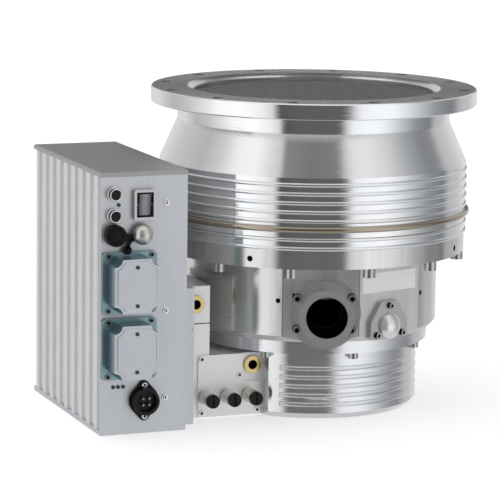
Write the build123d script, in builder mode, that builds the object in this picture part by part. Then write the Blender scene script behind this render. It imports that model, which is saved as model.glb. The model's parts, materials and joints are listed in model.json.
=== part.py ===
from build123d import *
from math import cos, radians, sin, tan
import os

# Turbomolecular vacuum pump with its drive unit, built as separate pieces. Millimetres.
# Frame: the rotor turns about Z, the pump stands on z = 0, the drive unit's front faces -Y
# and the drive unit stands on the -X side of the pump.
# Angles named *_angle are measured about Z from -Y towards +X.

# ---- Fits shared by all pieces ----
slide_gap = 0.3          # between a moving piece and its guide
screen_play = 0.1        # round the screen and its ring
stack_play = 0.2         # round the stator stack

# ---- Radii of the casing, stepped in from the inlet flange ----
flange_radius = 167.5
flange_bolt_inset = 12.5
flange_overhang = 27.5
neck_wall = 9.0
inlet_step = 9.5
screen_step = 3.0
cone_flare = 18.0
collar_step = 0.5
housing_screw_inset = 6.5
middle_step = 27.5
middle_wall = 15.0
flat_depth = 6.0
base_ring_step = 9.0
base_screw_inset = 5.5
base_step = 10.5
base_wall = 10.5
base_flat_depth = 33.5
flange_bolt_reach = flange_radius - flange_bolt_inset
neck_radius = flange_radius - flange_overhang
stack_radius = neck_radius - neck_wall
inlet_radius = neck_radius - inlet_step
screen_seat_radius = inlet_radius - screen_step
lip_radius = screen_seat_radius - screen_step
rib_radius = neck_radius + cone_flare
collar_radius = rib_radius - collar_step
housing_screw_reach = collar_radius - housing_screw_inset
middle_radius = collar_radius - middle_step
middle_bore = middle_radius - middle_wall
flat_distance = middle_radius - flat_depth
base_ring_radius = middle_radius - base_ring_step
base_screw_reach = base_ring_radius - base_screw_inset
base_radius = base_ring_radius - base_step
base_bore = base_radius - base_wall
base_flat_distance = base_radius - base_flat_depth

# ---- Base cylinder ----
base_wall_height = 69.0
base_ring_thickness = 13.0
base_chamfer = 5.9
base_groove_radius = 3.0
base_groove_depth = 1.4
base_groove_pitch = 9.25
base_groove_drop = 17.0
base_groove_count = 5
base_groove_start = -38.0
base_flat_wall = 5.5
base_screw_count = 8
bottom_cover_thickness = 8.0
base_ring_bottom = base_wall_height
middle_bottom = base_ring_bottom + base_ring_thickness
base_flat_x = -base_flat_distance

# ---- Middle housing: body, collar and two flats ----
middle_height = 79.0
middle_chamfer = 6.0
middle_floor_thickness = 10.0
collar_thickness = 18.5
collar_hole_angle = 45.0
collar_hole_rise = 8.5
collar_hole_radius = 3.0
collar_hole_depth = 12.0
flat_angle = 17.5
side_hole_angle = 36.8
side_hole_rise = 42.0
side_hole_radius = 2.5
side_hole_depth = 8.0
housing_screw_count = 12
middle_floor = middle_bottom + middle_floor_thickness
collar_bottom = middle_bottom + middle_height
collar_hole_height = collar_bottom + collar_hole_rise
side_hole_height = middle_bottom + side_hole_rise
housing_bottom = collar_bottom + collar_thickness

# ---- Upper housing: ribbed wall, cone, neck and inlet flange ----
rib_wall_height = 72.5
cone_height = 41.0
neck_height = 17.0
flange_thickness = 16.0
flange_bolt_count = 12
flange_bolt_radius = 5.5
flange_edge = 1.0
inlet_recess = 4.0
bead_rise = 2.2
bead_pitch = 9.05
bead_radius = 2.1
bead_sink = 0.5
bead_count = 8
bead_left_out = 2        # the row that the band takes
screen_seat_drop = 9.0
lip_thickness = 4.0
cone_bottom = housing_bottom + rib_wall_height
neck_bottom = cone_bottom + cone_height
flange_bottom = neck_bottom + neck_height
total_height = flange_bottom + flange_thickness
screen_seat = total_height - screen_seat_drop
stack_top = screen_seat - lip_thickness

# ---- Band round the upper housing ----
band_rise = 18.5
band_height = 6.2
band_proud = 4.5
band_depth = 3.0
band_joint_gap = 2.0
band_bottom = housing_bottom + band_rise
band_radius = rib_radius + band_proud
band_seat = rib_radius - band_depth

# ---- Inlet screen ----
screen_thickness = 1.5
screen_ring_width = 4.9
screen_radius = screen_seat_radius - screen_play
screen_ring_inner = screen_radius - screen_ring_width

# ---- Static seals ----
seal_section = 5.0
upper_seal_inset = 22.0
lower_seal_inset = 6.5
upper_seal_radius = collar_radius - upper_seal_inset
lower_seal_radius = base_bore + lower_seal_inset

# ---- Fore-vacuum port (DN 40 small flange) ----
port_shift = 3.4
port_rise = 30.5
port_plate_radius = 36.0
port_plate_thickness = 8.0
port_plate_flat = 32.5
port_length = 31.0
port_bore = 20.25
port_tube_radius = 22.5
port_rim_radius = 27.5
port_rim_thickness = 3.0
port_rim_slope = 15.0
port_duct_radius = 18.0
port_screw_reach = 31.7
port_screw_angle = 30.0

# ---- Purge port ----
purge_shift = -4.0
purge_rise = 14.0
purge_plate_thickness = 5.0
purge_plate_corner = 2.0
purge_bottom_half = 24.0
purge_top_half = 10.5
purge_bottom_drop = 13.0
purge_shoulder_rise = 5.3
purge_top_rise = 25.2
purge_cap_radius = 13.0
purge_cap_height = 9.0
purge_cap_rim = 3.0
purge_screw_side = 16.5
purge_screw_drop = 8.5
purge_screw_rise = 20.5

# ---- Rotor ----
rotor_drop = 5.0
rotor_first_stage_drop = 8.0
hub_radius = 60.0
hub_wall = 12.0
hub_pocket_depth = 32.0
hub_web_thickness = 18.0
hub_rim = 16.0
hub_skirt_height = 9.0
rotor_tip_gap = 2.0
rotor_stage_count = 4
stage_pitch = 24.0
rotor_blade_height = 12.0
rotor_blade_count = 24
rotor_root_angle = 50.0
rotor_tip_angle = 34.0
blade_thickness = 2.4
blade_root_depth = 1.0
drum_inset = 11.0
drum_wall = 5.0
drum_overlap = 57.5
drag_rise = 33.5
hub_cavity_radius = hub_radius - hub_wall
hub_pocket_radius = hub_radius - hub_rim
drum_radius = middle_bore - drum_inset
rotor_top = screen_seat - rotor_drop
rotor_stage_top = rotor_top - rotor_first_stage_drop
hub_web_top = rotor_top - hub_pocket_depth
hub_web_bottom = hub_web_top - hub_web_thickness
hub_bottom = housing_bottom + drag_rise
drum_bottom = housing_bottom - drum_overlap

# ---- Stator ----
stator_blade_height = 9.0
stator_blade_count = 24
stator_blade_angle = 40.0
stator_inner_gap = 2.5
stator_inner_wall = 4.0
stack_wall = 5.0
drag_bore_gap = 1.0
drag_end_rise = 3.0
drag_groove_count = 12
drag_groove_width = 14.0
drag_groove_depth = 4.0
stator_inner_radius = hub_radius + stator_inner_gap
rotor_tip_radius = stack_radius - stack_wall - rotor_tip_gap
drag_step_height = hub_bottom
drag_bottom = drum_bottom + drag_end_rise

# ---- Shaft, bearings and motor ----
shaft_radius = 15.0
shaft_overhang = 2.0
shaft_flange_radius = 36.0
shaft_flange_thickness = 12.0
shaft_spigot_radius = 12.0
rotor_bolt_count = 6
rotor_bolt_reach = 26.0
carrier_play = 1.5
carrier_wall = 10.0
carrier_depth = 70.0
carrier_clearance = 8.0
carrier_cap = 9.0
carrier_flange_inset = 12.0
carrier_flange_thickness = 10.0
air_gap = 0.5
magnet_sleeve_radius = 24.5
magnet_height = 25.0
upper_magnet_drop = 34.5
lower_magnet_drop = 30.0
motor_radius = 25.0
motor_rise = 23.0
motor_height = 40.0
thrust_radius = 38.0
thrust_drop = 46.0
thrust_thickness = 6.0
axial_magnet_height = 9.0
axial_magnet_bore = 18.0
touchdown_radius = 28.0
touchdown_height = 8.0
touchdown_race = 4.0
sensor_height = 7.0
upper_sensor_drop = 46.0
lower_sensor_drop = 1.0
sensor_bore = 17.0
carrier_outer = base_flat_distance - base_flat_wall - carrier_play
carrier_bore = carrier_outer - carrier_wall
carrier_flange_radius = base_bore - carrier_flange_inset
carrier_bottom = middle_floor - carrier_depth
carrier_top = hub_bottom - carrier_clearance
shaft_bottom = carrier_bottom - shaft_overhang
magnet_bottoms = (middle_floor - lower_magnet_drop, carrier_top - upper_magnet_drop)
sensor_bottoms = (middle_floor - lower_sensor_drop, carrier_top - upper_sensor_drop)
motor_bottom = middle_floor + motor_rise
thrust_bottom = middle_floor - thrust_drop

# ---- Connection block between pump and drive unit ----
drive_gap = 13.3
bracket_thickness = 15.8
bracket_front = -86.5
bracket_back = 70.0
bracket_top = 138.0
bracket_rebate = 3.0
bracket_rebate_width = 1.0
block_front = -62.0
block_back = 44.0
block_drop = 5.0
block_top = base_ring_bottom - block_drop
block_relief = 2.0
panel_thickness = 2.0
panel_width = 67.1
panel_inset = 2.8
panel_margin = 0.4
panel_corner = 2.0
panel_notch_width = 19.4
panel_notch_bottom = 35.0
panel_screw_inset = 3.6
panel_foot_inset = 4.6
column_width = 25.5
column_height = 71.0
column_seam_height = 96.8
column_seam_width = 1.4
column_seam_depth = 6.0
fitting_radius = 9.0
fitting_flange = 3.0
fitting_stem_radius = 7.0
fitting_length = 16.0
fitting_thread_radius = 4.3
fitting_thread_depth = 12.0
lower_fitting_inset = 11.6
lower_fitting_z = 51.8
upper_fitting_inset = 10.0
upper_fitting_z = 116.8
fuse_inset = 7.5
fuse_pitch = 23.2
fuse_count = 3
fuse_height = 21.6
fuse_cap_radius = 7.0
fuse_cap_length = 23.0
fuse_cap_edge = 0.6
fuse_cap_slot = 1.4
fuse_cap_slot_depth = 1.6
fuse_seat_radius = 8.2
fuse_seat_thickness = 2.0
fuse_stem_radius = 4.8
fuse_stem_length = 14.0
drive_right = -(band_radius + drive_gap)
block_left = drive_right + bracket_thickness
column_right = block_left + column_width
column_top = block_top + column_height
panel_right = base_flat_x - panel_inset
panel_left = panel_right - panel_width
lower_fitting_x = base_flat_x - lower_fitting_inset
upper_fitting_x = block_left + upper_fitting_inset
fuse_xs = [panel_left + fuse_inset + i * fuse_pitch for i in range(fuse_count)]

# ---- Drive unit ----
drive_width = 88.8
drive_front = -107.4
drive_depth = 222.4
drive_height = 260.0
drive_wall = 2.5
rib_count = 9
rib_height = 3.0
rib_width = 12.0
rib_flank_angle = 60.0
lid_thickness = 4.5
lid_overhang = 0.5
lid_chamfer = 1.0
plate_thickness = 3.0
board_thickness = 1.6
board_inset = 22.0
board_margin = 12.0
drive_left = drive_right - drive_width
drive_back = drive_front + drive_depth

# ---- Controls on the front panel, placed from the drive unit's top left corner ----
button_inset = 12.4
start_button_drop = 20.9
button_pitch = 21.1
bezel_radius = 7.4
bezel_height = 3.0
button_radius = 5.0
button_reach = 9.0
button_edge = 0.8
button_collar = 1.2
button_collar_thickness = 2.0
switch_inset = 43.1
switch_drop = 32.0
switch_width = 22.4
switch_tall = 29.6
switch_wall = 2.6
switch_reach = 6.0
switch_corner = 2.0
rocker_width = 12.0
rocker_tall = 21.0
rocker_thickness = 5.0
rocker_tilt = 8.0
rocker_pivot_radius = 1.5
rocker_pivot_play = 0.1
button_x = drive_left + button_inset
button_zs = [drive_height - start_button_drop - i * button_pitch for i in range(2)]
switch_x = drive_left + switch_inset
switch_z = drive_height - switch_drop

# ---- Connectors ----
cover_inset = 28.3
cover_upper_drop = 108.3
cover_pitch = 65.4
cover_base_width = 56.0
cover_base_tall = 61.0
cover_base_thickness = 4.0
cover_base_corner = 4.0
cover_width = 45.5
cover_tall = 53.5
cover_reach = 27.0
cover_notch = 7.6
cover_face_border = 3.0
cover_face_rise = 0.8
cover_screw_x = 22.3
cover_screw_z = 27.0
lamp_radius = 1.9
lamp_height = 1.0
cover_lamp_offset = 18.9
button_lamp_inset = 17.7
button_lamp_drop = 31.9
lamp_row_inset = 13.0
lamp_row_pitch = 5.1
lamp_row_height = 47.9
lamp_row_count = 3
panel_screw_margin = 21.9
panel_screw_drops = (31.3, 138.6, 225.4)
power_inset = 44.3
power_z = 33.3
power_screw_spacing = 31.6
power_ear_radius = 4.5
power_flange_radius = 15.0
power_flange_thickness = 3.0
power_ring_radius = 13.5
power_ring_reach = 11.0
power_well_radius = 10.5
power_well_depth = 6.0
power_pin_reach = 4.5
power_pin_count = 4
power_pin_radius = 1.25
power_pin_length = 5.0
service_inset = 40.6
service_drop = 60.8
service_neck_radius = 6.5
service_neck_length = 7.0
service_dome_radius = 10.3
service_dome_length = 9.0
cap_spacing = 28.3
cap_radius = 10.6
cap_length = 9.0
cap_edge = 1.5
cap_seat = 3.2
cap_socket_radius = 8.6
cap_socket_reach = 8.0
strap_thickness = 1.8
strap_stand_off = 4.5
strap_width = 5.0
strap_drop = 17.0
strap_eye_wall = 2.2
strap_eye_play = 0.1
cover_x = drive_left + cover_inset
cover_zs = [drive_height - cover_upper_drop - i * cover_pitch for i in range(2)]
power_x = drive_left + power_inset
service_x = drive_left + service_inset
service_z = drive_height - service_drop
cap_x = service_x - cap_spacing

# ---- Fasteners: shank radius, head radius, head height, key size, shank length ----
m8_screw = dict(shank=4.0, head=6.5, height=9.2, key=0.0, length=30.0)
m6_screw = dict(shank=3.0, head=5.0, height=6.0, key=0.0, length=24.0)
m5_screw = dict(shank=2.5, head=4.25, height=5.0, key=4.0, length=16.0)
m4_screw = dict(shank=2.0, head=3.5, height=2.2, key=0.0, length=8.0)
m3_screw = dict(shank=1.5, head=2.6, height=1.6, key=0.0, length=6.0)
purge_screw = dict(shank=1.5, head=3.2, height=3.0, key=2.5, length=9.0)


def side_plane(angle, distance, shift=0.0, height=0.0):
    """Plane facing outwards from the pump's axis, x along the wall and y up."""
    outward = Vector(0, -1, 0).rotate(Axis.Z, angle)
    along = Vector(1, 0, 0).rotate(Axis.Z, angle)
    origin = outward * distance + along * shift + Vector(0, 0, height)
    return Plane(origin=origin, x_dir=along, z_dir=outward)


def front_plane(x, y, z):
    """Plane facing -Y at a point, x along +X and y up."""
    return Plane(origin=(x, y, z), x_dir=(1, 0, 0), z_dir=(0, -1, 0))


def socket_screw(shank, head, height, key, length):
    """Cap screw: the head stands on z = 0, the shank hangs below it. Key 0 has no socket."""
    with BuildPart() as screw:
        with BuildSketch():
            Circle(head)
        extrude(amount=height)
        with BuildSketch():
            Circle(shank)
        extrude(amount=-length)
        if key > 0:
            with BuildSketch(Plane.XY.offset(height)):
                RegularPolygon(key / 2, 6, major_radius=False)
            extrude(amount=-height * 0.6, mode=Mode.SUBTRACT)
    return screw.part


def ring(inner, outer, bottom, top):
    """Plain ring about the pump's axis."""
    with BuildPart() as body:
        with BuildSketch(Plane.XY.offset(bottom)):
            Circle(outer)
            Circle(inner, mode=Mode.SUBTRACT)
        extrude(amount=top - bottom)
    return body.part


def blade(root, tip, height, root_angle, tip_angle):
    """One turbine blade along +X, steep at the root and laid over towards the tip."""
    with BuildPart() as slab:
        for distance, angle in ((root, root_angle), (tip, tip_angle)):
            lean = height / 2 / tan(radians(angle))
            half = blade_thickness / 2 / sin(radians(abs(angle)))
            with BuildSketch(Plane.YZ.offset(distance)):
                with BuildLine():
                    Polyline(
                        (-lean - half, -height / 2), (-lean + half, -height / 2),
                        (lean + half, height / 2), (lean - half, height / 2), close=True,
                    )
                make_face()
        loft(ruled=True)
    return slab.part


# ==== Upper housing with the inlet flange ====
recess_floor = total_height - inlet_recess
band_top = band_bottom + band_height
band_crown = band_radius - band_height / 2
housing_tap_depth = m8_screw["length"] - (housing_bottom - collar_bottom)

bead_heights = [housing_bottom + bead_rise + bead_pitch * i
                for i in range(bead_count) if i != bead_left_out]

with BuildPart() as inlet_housing:
    with BuildSketch(Plane.XZ):
        with BuildLine():
            Polyline(
                (stack_radius, housing_bottom), (rib_radius, housing_bottom),
                (rib_radius, band_bottom), (band_seat, band_bottom),
                (band_seat, band_top), (rib_radius, band_top),
                (rib_radius, cone_bottom), (neck_radius, neck_bottom),
                (neck_radius, flange_bottom), (flange_radius, flange_bottom),
                (flange_radius, total_height), (inlet_radius, total_height),
                (inlet_radius, recess_floor), (screen_seat_radius, recess_floor),
                (screen_seat_radius, screen_seat), (lip_radius, screen_seat),
                (lip_radius, stack_top), (stack_radius, stack_top), close=True,
            )
        make_face()
        for height in bead_heights:
            with Locations((rib_radius - bead_sink, height)):
                Circle(bead_radius)
    revolve(axis=Axis.Z)
    rim = inlet_housing.edges().filter_by(GeomType.CIRCLE).filter_by(
        lambda edge: abs(edge.radius - flange_radius) < 0.01
    )
    chamfer(rim, length=flange_edge)
    with Locations((0, 0, total_height)):
        with PolarLocations(flange_bolt_reach, flange_bolt_count):
            Hole(flange_bolt_radius, depth=flange_thickness)
    with BuildSketch(Plane.XY.offset(housing_bottom)):
        with PolarLocations(housing_screw_reach, housing_screw_count):
            Circle(m8_screw["shank"])
    extrude(amount=housing_tap_depth, mode=Mode.SUBTRACT)

# ==== Split band in the groove of the upper housing ====
with BuildPart() as housing_band:
    with BuildSketch(Plane.XZ):
        with BuildLine():
            RadiusArc((band_crown, band_bottom), (band_crown, band_top), -band_height / 2)
            Polyline(
                (band_crown, band_top), (band_seat, band_top),
                (band_seat, band_bottom), (band_crown, band_bottom),
            )
        make_face()
    revolve(axis=Axis.Z)
    with BuildSketch(Plane.XY.offset(band_bottom)):
        Rectangle(2.2 * band_radius, band_joint_gap)
    extrude(amount=band_height, mode=Mode.SUBTRACT)

# ==== Inlet screen and the ring that holds it ====
with BuildPart() as inlet_screen:
    with BuildSketch(Plane.XY.offset(screen_seat)):
        Circle(screen_radius)
    extrude(amount=screen_thickness)

with BuildPart() as screen_ring:
    add(ring(screen_ring_inner, screen_radius,
             screen_seat + screen_thickness, recess_floor))

# ==== Middle housing: collar, body with two flats, floor and fore-vacuum duct ====
middle_tap_depth = m6_screw["length"] - (middle_bottom - base_ring_bottom)
port_height = middle_bottom + port_rise
purge_height = middle_bottom + purge_rise
port_plane = side_plane(-flat_angle, flat_distance, port_shift, port_height)
purge_plane = side_plane(flat_angle, flat_distance, purge_shift, purge_height)
port_screw_points = [
    (side * port_screw_reach * cos(radians(port_screw_angle)),
     turn * port_screw_reach * sin(radians(port_screw_angle)))
    for side in (-1, 1) for turn in (-1, 1)
]
purge_screw_points = [
    (0, purge_screw_rise), (-purge_screw_side, -purge_screw_drop),
    (purge_screw_side, -purge_screw_drop),
]
port_tap_depth = m5_screw["length"] - port_plate_thickness
purge_tap_depth = purge_screw["length"] - purge_plate_thickness
upper_seal = (upper_seal_radius, upper_seal_radius + seal_section,
              housing_bottom - seal_section, housing_bottom)
lower_seal = (lower_seal_radius, lower_seal_radius + seal_section / 2,
              middle_bottom - seal_section / 2, middle_bottom)

with BuildPart() as base_housing:
    with BuildSketch(Plane.XZ):
        with BuildLine():
            Polyline(
                (carrier_outer, middle_bottom),
                (middle_radius - middle_chamfer, middle_bottom),
                (middle_radius, middle_bottom + middle_chamfer),
                (middle_radius, collar_bottom), (collar_radius, collar_bottom),
                (collar_radius, housing_bottom), (middle_bore, housing_bottom),
                (middle_bore, middle_floor), (carrier_outer, middle_floor),
                close=True,
            )
        make_face()
    revolve(axis=Axis.Z)
    for angle in (-flat_angle, flat_angle):
        with BuildSketch(side_plane(angle, flat_distance, 0, middle_bottom + middle_height / 2)):
            Rectangle(middle_radius, middle_height)
        extrude(amount=middle_radius, mode=Mode.SUBTRACT)
    with BuildSketch(port_plane):
        Circle(port_duct_radius)
    extrude(amount=-(flat_distance - middle_bore + middle_bore / 4), mode=Mode.SUBTRACT)
    with BuildSketch(port_plane):
        with Locations(*port_screw_points):
            Circle(m5_screw["shank"])
    extrude(amount=-port_tap_depth, mode=Mode.SUBTRACT)
    with BuildSketch(purge_plane):
        with Locations(*purge_screw_points):
            Circle(purge_screw["shank"])
    extrude(amount=-purge_tap_depth, mode=Mode.SUBTRACT)
    with BuildSketch(Plane.XY.offset(collar_bottom)):
        with PolarLocations(housing_screw_reach, housing_screw_count):
            Circle(m8_screw["shank"] + slide_gap)
    extrude(amount=housing_bottom - collar_bottom, mode=Mode.SUBTRACT)
    with BuildSketch(Plane.XY.offset(middle_bottom)):
        with PolarLocations(base_screw_reach, base_screw_count):
            Circle(m6_screw["shank"])
    extrude(amount=middle_tap_depth, mode=Mode.SUBTRACT)
    for angle in (-collar_hole_angle, collar_hole_angle):
        with BuildSketch(side_plane(angle, collar_radius, 0, collar_hole_height)):
            Circle(collar_hole_radius)
        extrude(amount=-collar_hole_depth, mode=Mode.SUBTRACT)
    for angle in (-side_hole_angle, side_hole_angle):
        with BuildSketch(side_plane(angle, middle_radius, 0, side_hole_height)):
            Circle(side_hole_radius)
        extrude(amount=-side_hole_depth, mode=Mode.SUBTRACT)
    add(ring(*upper_seal), mode=Mode.SUBTRACT)

def base_cavity(height):
    """Round space inside the base, flattened behind the connection block."""
    with BuildPart() as cavity:
        with BuildSketch():
            Circle(base_bore)
            with Locations((base_flat_x + base_flat_wall - base_bore, 0)):
                Rectangle(2 * base_bore, 2 * base_bore, mode=Mode.SUBTRACT)
        extrude(amount=height)
    return cavity.part


# ==== Base cylinder with cooling grooves and a flat for the connection block ====
base_groove_heights = [base_ring_bottom - base_groove_drop - base_groove_pitch * i
                       for i in range(base_groove_count)]

with BuildPart() as base_cylinder:
    with BuildSketch(Plane.XZ):
        with BuildLine():
            Polyline(
                (0, 0), (base_radius - base_chamfer, 0), (base_radius, base_chamfer),
                (base_radius, base_ring_bottom), (base_ring_radius, base_ring_bottom),
                (base_ring_radius, middle_bottom), (0, middle_bottom), close=True,
            )
        make_face()
    revolve(axis=Axis.Z)
    add(base_cavity(middle_bottom), mode=Mode.SUBTRACT)
    groove_plane = Plane(
        origin=(0, 0, 0),
        x_dir=Vector(0, -1, 0).rotate(Axis.Z, base_groove_start),
        z_dir=Vector(-1, 0, 0).rotate(Axis.Z, base_groove_start),
    )
    with BuildSketch(groove_plane):
        for height in base_groove_heights:
            with Locations((base_radius + base_groove_radius - base_groove_depth, height)):
                Circle(base_groove_radius)
    revolve(axis=Axis.Z, revolution_arc=180 - 2 * base_groove_start, mode=Mode.SUBTRACT)
    with BuildSketch(Plane.YZ.offset(base_flat_x)):
        with Locations((0, base_ring_bottom / 2)):
            Rectangle(2 * base_radius, base_ring_bottom)
    extrude(amount=-base_radius, mode=Mode.SUBTRACT)
    with BuildSketch(Plane.XY.offset(base_ring_bottom)):
        with PolarLocations(base_screw_reach, base_screw_count):
            Circle(m6_screw["shank"] + slide_gap)
    extrude(amount=middle_bottom - base_ring_bottom, mode=Mode.SUBTRACT)
    add(ring(*lower_seal), mode=Mode.SUBTRACT)

with BuildPart() as seals:
    add(ring(*upper_seal))
    add(ring(*lower_seal))

# ==== Bottom cover ====
with BuildPart() as bottom_cover:
    add(base_cavity(bottom_cover_thickness))

# ==== Screws of the pump casing ====
m8 = socket_screw(**m8_screw)
m6 = socket_screw(**m6_screw)
m5 = socket_screw(**m5_screw)

with BuildPart() as housing_screws:
    with Locations(Plane(origin=(0, 0, collar_bottom), z_dir=(0, 0, -1))):
        with PolarLocations(housing_screw_reach, housing_screw_count):
            add(m8)

with BuildPart() as base_screws:
    with Locations(Plane(origin=(0, 0, base_ring_bottom), z_dir=(0, 0, -1))):
        with PolarLocations(base_screw_reach, base_screw_count):
            add(m6)

# ==== Fore-vacuum port with its small flange ====
rim_drop = (port_rim_radius - port_tube_radius) * tan(radians(port_rim_slope))
with BuildPart() as fore_vacuum_port:
    with BuildSketch(port_plane):
        Circle(port_plate_radius)
        with Locations((0, port_plate_flat + port_plate_radius / 2)):
            Rectangle(2 * port_plate_radius, port_plate_radius, mode=Mode.SUBTRACT)
    extrude(amount=port_plate_thickness)
    port_section = Plane(origin=port_plane.origin, x_dir=(0, 0, 1),
                         z_dir=port_plane.x_dir)
    with BuildSketch(port_section):
        with BuildLine():
            Polyline(
                (0, port_plate_thickness), (port_tube_radius, port_plate_thickness),
                (port_tube_radius, port_length - port_rim_thickness - rim_drop),
                (port_rim_radius, port_length - port_rim_thickness),
                (port_rim_radius, port_length), (0, port_length), close=True,
            )
        make_face()
    revolve(axis=Axis(port_plane.origin, port_plane.z_dir))
    with BuildSketch(port_plane):
        Circle(port_bore)
    extrude(amount=port_length, mode=Mode.SUBTRACT)
    with BuildSketch(port_plane):
        with Locations(*port_screw_points):
            Circle(m5_screw["shank"] + slide_gap)
    extrude(amount=port_plate_thickness, mode=Mode.SUBTRACT)

# ==== Purge port: triangular plate and its domed cap ====
with BuildPart() as purge_plate:
    with BuildSketch(purge_plane):
        with BuildLine():
            Polyline(
                (-purge_bottom_half, -purge_bottom_drop), (purge_bottom_half, -purge_bottom_drop),
                (purge_bottom_half, purge_shoulder_rise), (purge_top_half, purge_top_rise),
                (-purge_top_half, purge_top_rise), (-purge_bottom_half, purge_shoulder_rise),
                close=True,
            )
        make_face()
        fillet(vertices(), radius=purge_plate_corner)
    extrude(amount=purge_plate_thickness)
    with BuildSketch(purge_plane):
        with Locations(*purge_screw_points):
            Circle(purge_screw["shank"] + slide_gap)
    extrude(amount=purge_plate_thickness, mode=Mode.SUBTRACT)

dome_radius = ((purge_cap_radius**2 + (purge_cap_height - purge_cap_rim)**2)
               / (2 * (purge_cap_height - purge_cap_rim)))
with BuildPart() as purge_cap:
    cap_section = Plane(origin=purge_plane.origin, x_dir=(0, 0, 1), z_dir=purge_plane.x_dir)
    with BuildSketch(cap_section):
        with BuildLine():
            base_line = Polyline(
                (0, purge_plate_thickness), (purge_cap_radius, purge_plate_thickness),
                (purge_cap_radius, purge_plate_thickness + purge_cap_rim),
            )
            top = (0, purge_plate_thickness + purge_cap_height)
            RadiusArc(base_line @ 1, top, -dome_radius)
            Line(top, (0, purge_plate_thickness))
        make_face()
    revolve(axis=Axis(purge_plane.origin, purge_plane.z_dir))

with BuildPart() as port_screws:
    port_face = side_plane(-flat_angle, flat_distance + port_plate_thickness,
                           port_shift, port_height)
    with Locations(port_face):
        with Locations(*port_screw_points):
            add(m5)
    purge_face = side_plane(flat_angle, flat_distance + purge_plate_thickness,
                            purge_shift, purge_height)
    with Locations(purge_face):
        with Locations(*purge_screw_points):
            add(socket_screw(**purge_screw))

# ==== Bladed rotor: hub, four blade rows and the drag-stage drum ====
with BuildPart() as turbine_rotor:
    with BuildSketch(Plane.XZ):
        with BuildLine():
            Polyline(
                (shaft_spigot_radius, hub_web_bottom), (hub_cavity_radius, hub_web_bottom),
                (hub_cavity_radius, hub_bottom), (drum_radius - drum_wall, hub_bottom),
                (drum_radius - drum_wall, drum_bottom), (drum_radius, drum_bottom),
                (drum_radius, hub_bottom + hub_skirt_height),
                (hub_radius, hub_bottom + hub_skirt_height), (hub_radius, rotor_top),
                (hub_pocket_radius, rotor_top), (hub_pocket_radius, hub_web_top),
                (shaft_spigot_radius, hub_web_top), close=True,
            )
        make_face()
    revolve(axis=Axis.Z)
    with BuildSketch(Plane.XY.offset(hub_web_bottom)):
        with PolarLocations(rotor_bolt_reach, rotor_bolt_count):
            Circle(m6_screw["shank"] + slide_gap)
    extrude(amount=hub_web_top - hub_web_bottom, mode=Mode.SUBTRACT)
    rotor_blade = blade(hub_radius - blade_root_depth, rotor_tip_radius,
                        rotor_blade_height, rotor_root_angle, rotor_tip_angle)
    for stage in range(rotor_stage_count):
        with Locations((0, 0, rotor_stage_top - stage * stage_pitch)):
            with PolarLocations(0, rotor_blade_count):
                add(rotor_blade)

# ==== Shaft with the parts that spin with it ====
shaft_flange_bottom = hub_web_bottom - shaft_flange_thickness
with BuildPart() as rotor_shaft:
    with BuildSketch(Plane.XZ):
        with BuildLine():
            Polyline(
                (0, shaft_bottom), (shaft_radius, shaft_bottom),
                (shaft_radius, shaft_flange_bottom), (shaft_flange_radius, shaft_flange_bottom),
                (shaft_flange_radius, hub_web_bottom), (shaft_spigot_radius, hub_web_bottom),
                (shaft_spigot_radius, hub_web_top), (0, hub_web_top), close=True,
            )
        make_face()
    revolve(axis=Axis.Z)
    with BuildSketch(Plane.XY.offset(shaft_flange_bottom)):
        with PolarLocations(rotor_bolt_reach, rotor_bolt_count):
            Circle(m6_screw["shank"])
    extrude(amount=shaft_flange_thickness, mode=Mode.SUBTRACT)

with BuildPart() as rotor_bolts:
    with Locations((0, 0, hub_web_top)):
        with PolarLocations(rotor_bolt_reach, rotor_bolt_count):
            add(m6)

with BuildPart() as thrust_disc:
    add(ring(shaft_radius, thrust_radius, thrust_bottom, thrust_bottom + thrust_thickness))

with BuildPart() as motor_rotor:
    add(ring(shaft_radius, motor_radius, motor_bottom, motor_bottom + motor_height))

with BuildPart() as bearing_sleeves:
    for bottom in magnet_bottoms:
        add(ring(shaft_radius, magnet_sleeve_radius, bottom, bottom + magnet_height))

# ==== Stator blade discs, each in two halves, and the rings that space them ====
stack_rim = stack_radius - stack_play
stack_inner = stack_rim - stack_wall
stator_blade = blade(stator_inner_radius + stator_inner_wall - blade_root_depth,
                     stack_inner + blade_root_depth, stator_blade_height,
                     -stator_blade_angle, -stator_blade_angle)
stator_heights = [rotor_stage_top - stage_pitch * (i + 0.5) for i in range(rotor_stage_count - 1)]
stator_discs = []
for height in stator_heights:
    low = height - stator_blade_height / 2
    high = height + stator_blade_height / 2
    with BuildPart() as stator_disc:
        add(ring(stator_inner_radius, stator_inner_radius + stator_inner_wall, low, high))
        add(ring(stack_inner, stack_rim, low, high))
        with Locations((0, 0, height)):
            with PolarLocations(0, stator_blade_count):
                add(stator_blade)
        split(bisect_by=Plane.XZ, keep=Keep.BOTH)
    stator_discs.append(stator_disc)

spacer_edges = [stack_top]
for height in stator_heights:
    spacer_edges += [height + stator_blade_height / 2, height - stator_blade_height / 2]
spacer_edges.append(drag_step_height)
with BuildPart() as spacer_rings:
    for high, low in zip(spacer_edges[0::2], spacer_edges[1::2]):
        add(ring(stack_inner, stack_rim, low, high))

# ==== Drag-stage stator with its pumping channels ====
drag_bore = drum_radius + drag_bore_gap
with BuildPart() as drag_stator:
    with BuildSketch(Plane.XZ):
        with BuildLine():
            Polyline(
                (drag_bore, drag_bottom), (middle_bore, drag_bottom),
                (middle_bore, housing_bottom), (stack_rim, housing_bottom),
                (stack_rim, drag_step_height), (drag_bore, drag_step_height), close=True,
            )
        make_face()
    revolve(axis=Axis.Z)
    with BuildSketch(Plane.XY.offset(drag_bottom)):
        with PolarLocations(drag_bore, drag_groove_count):
            Rectangle(2 * drag_groove_depth, drag_groove_width)
    extrude(amount=drag_step_height - drag_bottom, mode=Mode.SUBTRACT)

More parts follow.
